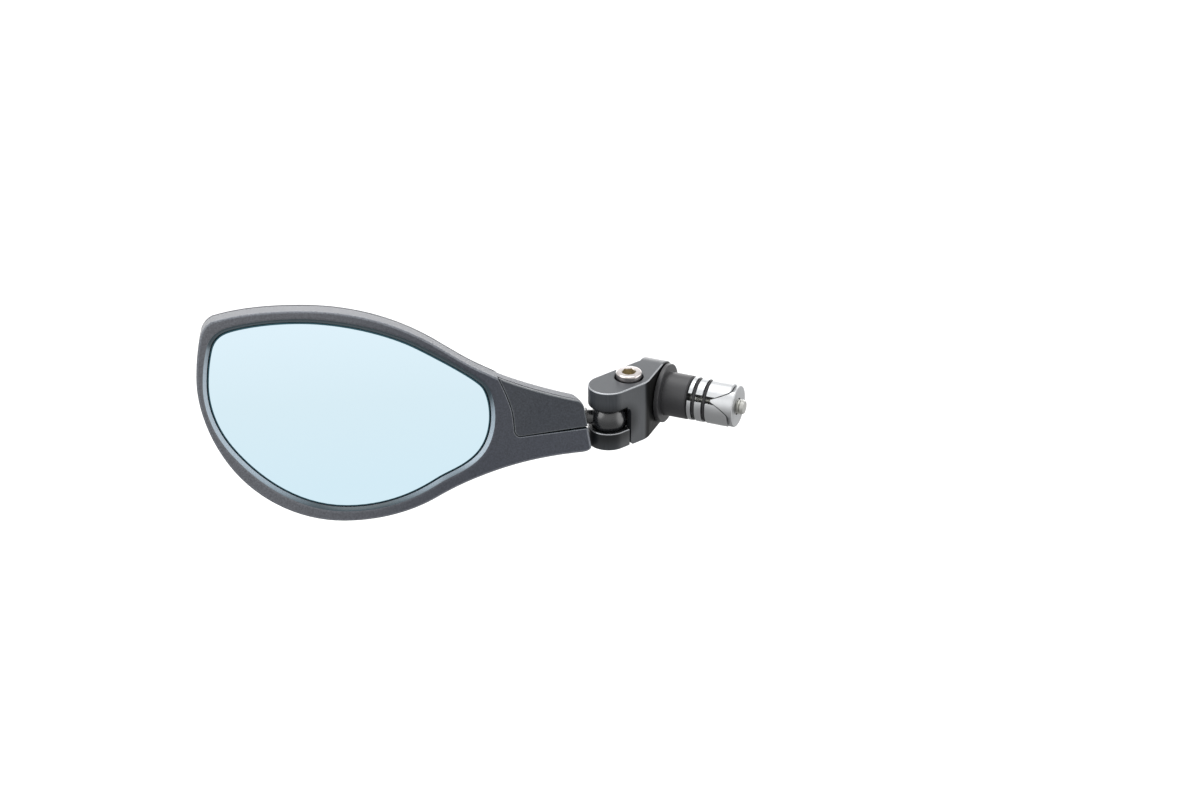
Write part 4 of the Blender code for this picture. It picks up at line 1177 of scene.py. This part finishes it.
def make_lights():
    data = bpy.data.lights.new("top_softbox", "AREA")
    data.shape = "RECTANGLE"
    data.size, data.size_y = SOFTBOX_SIZE
    data.energy = SOFTBOX_POWER
    lamp = bpy.data.objects.new("top_softbox", data)
    lamp.location = SOFTBOX_PLACE
    lamp.rotation_mode = "QUATERNION"
    lamp.rotation_quaternion = (Vector(SOFTBOX_AIM) - lamp.location).to_track_quat("-Z", "Y")
    lamp.visible_camera = False
    bpy.context.scene.collection.objects.link(lamp)


def make_floor():
    """A pale floor well below the mirror; it fades out with distance, so that no horizon shows."""
    mesh = bpy.data.meshes.new("floor")
    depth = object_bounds()[0].z - FLOOR_DROP
    shape = bmesh.new()
    bmesh.ops.create_grid(shape, x_segments=1, y_segments=1, size=FLOOR_HALF)
    shape.transform(Matrix.Translation((0, 0, depth)))
    shape.to_mesh(mesh)
    shape.free()
    floor = bpy.data.objects.new("floor", mesh)
    bpy.context.scene.collection.objects.link(floor)
    made, nodes, shader = new_material("floor_white", Roughness=0.9)
    shader.inputs["Base Color"].default_value = (0.93, 0.93, 0.93, 1)
    out = nodes.tree.nodes["Material Output"]
    glow = nodes.add("ShaderNodeEmission", {"Color": (1, 1, 1, 1), "Strength": 1.0})
    path = nodes.add("ShaderNodeLightPath").outputs["Is Camera Ray"]
    lit = nodes.add("ShaderNodeMixShader", {0: nodes.maths("MULTIPLY", path, 0.5)})
    nodes.put(lit.inputs[1], shader.outputs[0])
    nodes.put(lit.inputs[2], glow.outputs[0])
    clear = nodes.add("ShaderNodeBsdfTransparent")
    distance = nodes.vector_maths("DISTANCE", nodes.place(), (0, 0, 0), "Value")
    fade = nodes.add("ShaderNodeMixShader", {0: nodes.ranged(distance, *FLOOR_FADE, 0, 1, smooth=True)})
    nodes.put(fade.inputs[1], lit.outputs[0])
    nodes.put(fade.inputs[2], clear.outputs[0])
    nodes.put(out.inputs["Surface"], fade.outputs[0])
    mesh.materials.append(made)
    floor.visible_diffuse = False
    floor.visible_glossy = False


def make_camera():
    """The camera looks at a point by the ball, from the height and side that the object is seen from."""
    data = bpy.data.cameras.new("camera")
    data.sensor_width = 36.0
    data.lens = CAMERA_LENS
    data.clip_start = 0.01
    azimuth, elevation = math.radians(CAMERA_AZIMUTH), math.radians(CAMERA_ELEVATION)
    back = Vector((
        math.sin(azimuth) * math.cos(elevation), -math.cos(azimuth) * math.cos(elevation), math.sin(elevation)
    ))
    aim = BAR_AXIS + Vector(CAMERA_AIM) * MM
    camera = bpy.data.objects.new("camera", data)
    camera.location = aim + back * CAMERA_DISTANCE
    camera.rotation_mode = "QUATERNION"
    camera.rotation_quaternion = (-back).to_track_quat("-Z", "Y")
    bpy.context.scene.collection.objects.link(camera)
    bpy.context.scene.camera = camera


# The mirror

# The housing is one plastic; its far end is painted lighter than the neck, as painted light.
HOUSING_DARK = (0.039, 0.044, 0.058, 1)
HOUSING_PAINTED_LIT = (0.096, 0.101, 0.114, 1)
HOUSING = make_plastic("housing_plastic", HOUSING_DARK, HOUSING_PAINTED_LIT, (-0.125, -0.055), shine=0.46)
# Paler plastic for the rounded edges of the frame and the cover: a painted highlight along them.
HOUSING_EDGE_HIGHLIGHT = make_plastic("housing_edge_highlight", (0.13, 0.14, 0.16, 1), rough=0.3)
RIM_LIP = make_lip("rim_lip")
COVER = make_plastic("cover_plastic", (0.038, 0.043, 0.053, 1), shine=0.34)
COVER_EDGE_HIGHLIGHT = make_plastic("cover_edge_highlight", (0.10, 0.11, 0.12, 1), rough=0.35)
GLASS_EDGE = make_metal("glass_edge", (0.060, 0.150, 0.190), 0.12, metallic=0.0)
MIRROR = make_mirror("blue_mirror")
ANODISED = make_anodised("black_anodised", 0.95, 0.38)
# Edges of the arm and the jaw: a paler anodised colour and bare metal on top, partly wear and partly a
# painted highlight.
ANODISED_EDGE_WEAR_AND_HIGHLIGHT = make_anodised("anodised_edge_wear_and_highlight", 2.2, 0.24, wear_and_highlight=0.6)
# The jaw's anodising is painted darker than the arm's: painted shade, as it hangs low under the arm.
JAW_PAINTED_SHADE = make_anodised("jaw_anodised_painted_shade", 0.6, 0.34)
BALL_BLACK = make_metal("black_steel", (0.014, 0.015, 0.017), 0.24, metallic=0.0, gloss=1.8)
NYLON = make_soft("nylon", (0.016, 0.016, 0.018), 0.5, 1800.0, 0.15)
RUBBER = make_soft("band_rubber", (0.012, 0.012, 0.013), 0.75, 2500.0, 0.3)
FOAM = make_soft("foam_tape", (0.62, 0.62, 0.58), 0.9, 2200.0, 0.5)
STEEL = make_metal("stainless_steel", (0.62, 0.60, 0.57), 0.28)
BRIGHT_STEEL = make_bolt_steel("bright_stainless")
ZINC = make_metal("zinc_steel", (0.58, 0.58, 0.55), 0.33)
ALUMINIUM = make_metal("plain_aluminium", (0.50, 0.51, 0.52), 0.40, scale=(3000, 150, 150))

make_frame()
make_shell()
make_cover()
make_glass()
make_stud_nut()
make_ball_stud()
make_upper_seat()
make_lower_seat()
make_arm()
make_jaw()
make_clamp_bolt()
make_plug()
make_segments()
make_wedge_nut()
make_expander_bolt()
make_world()
make_lights()
make_floor()
make_camera()
bpy.context.scene.view_settings.view_transform = "Standard"
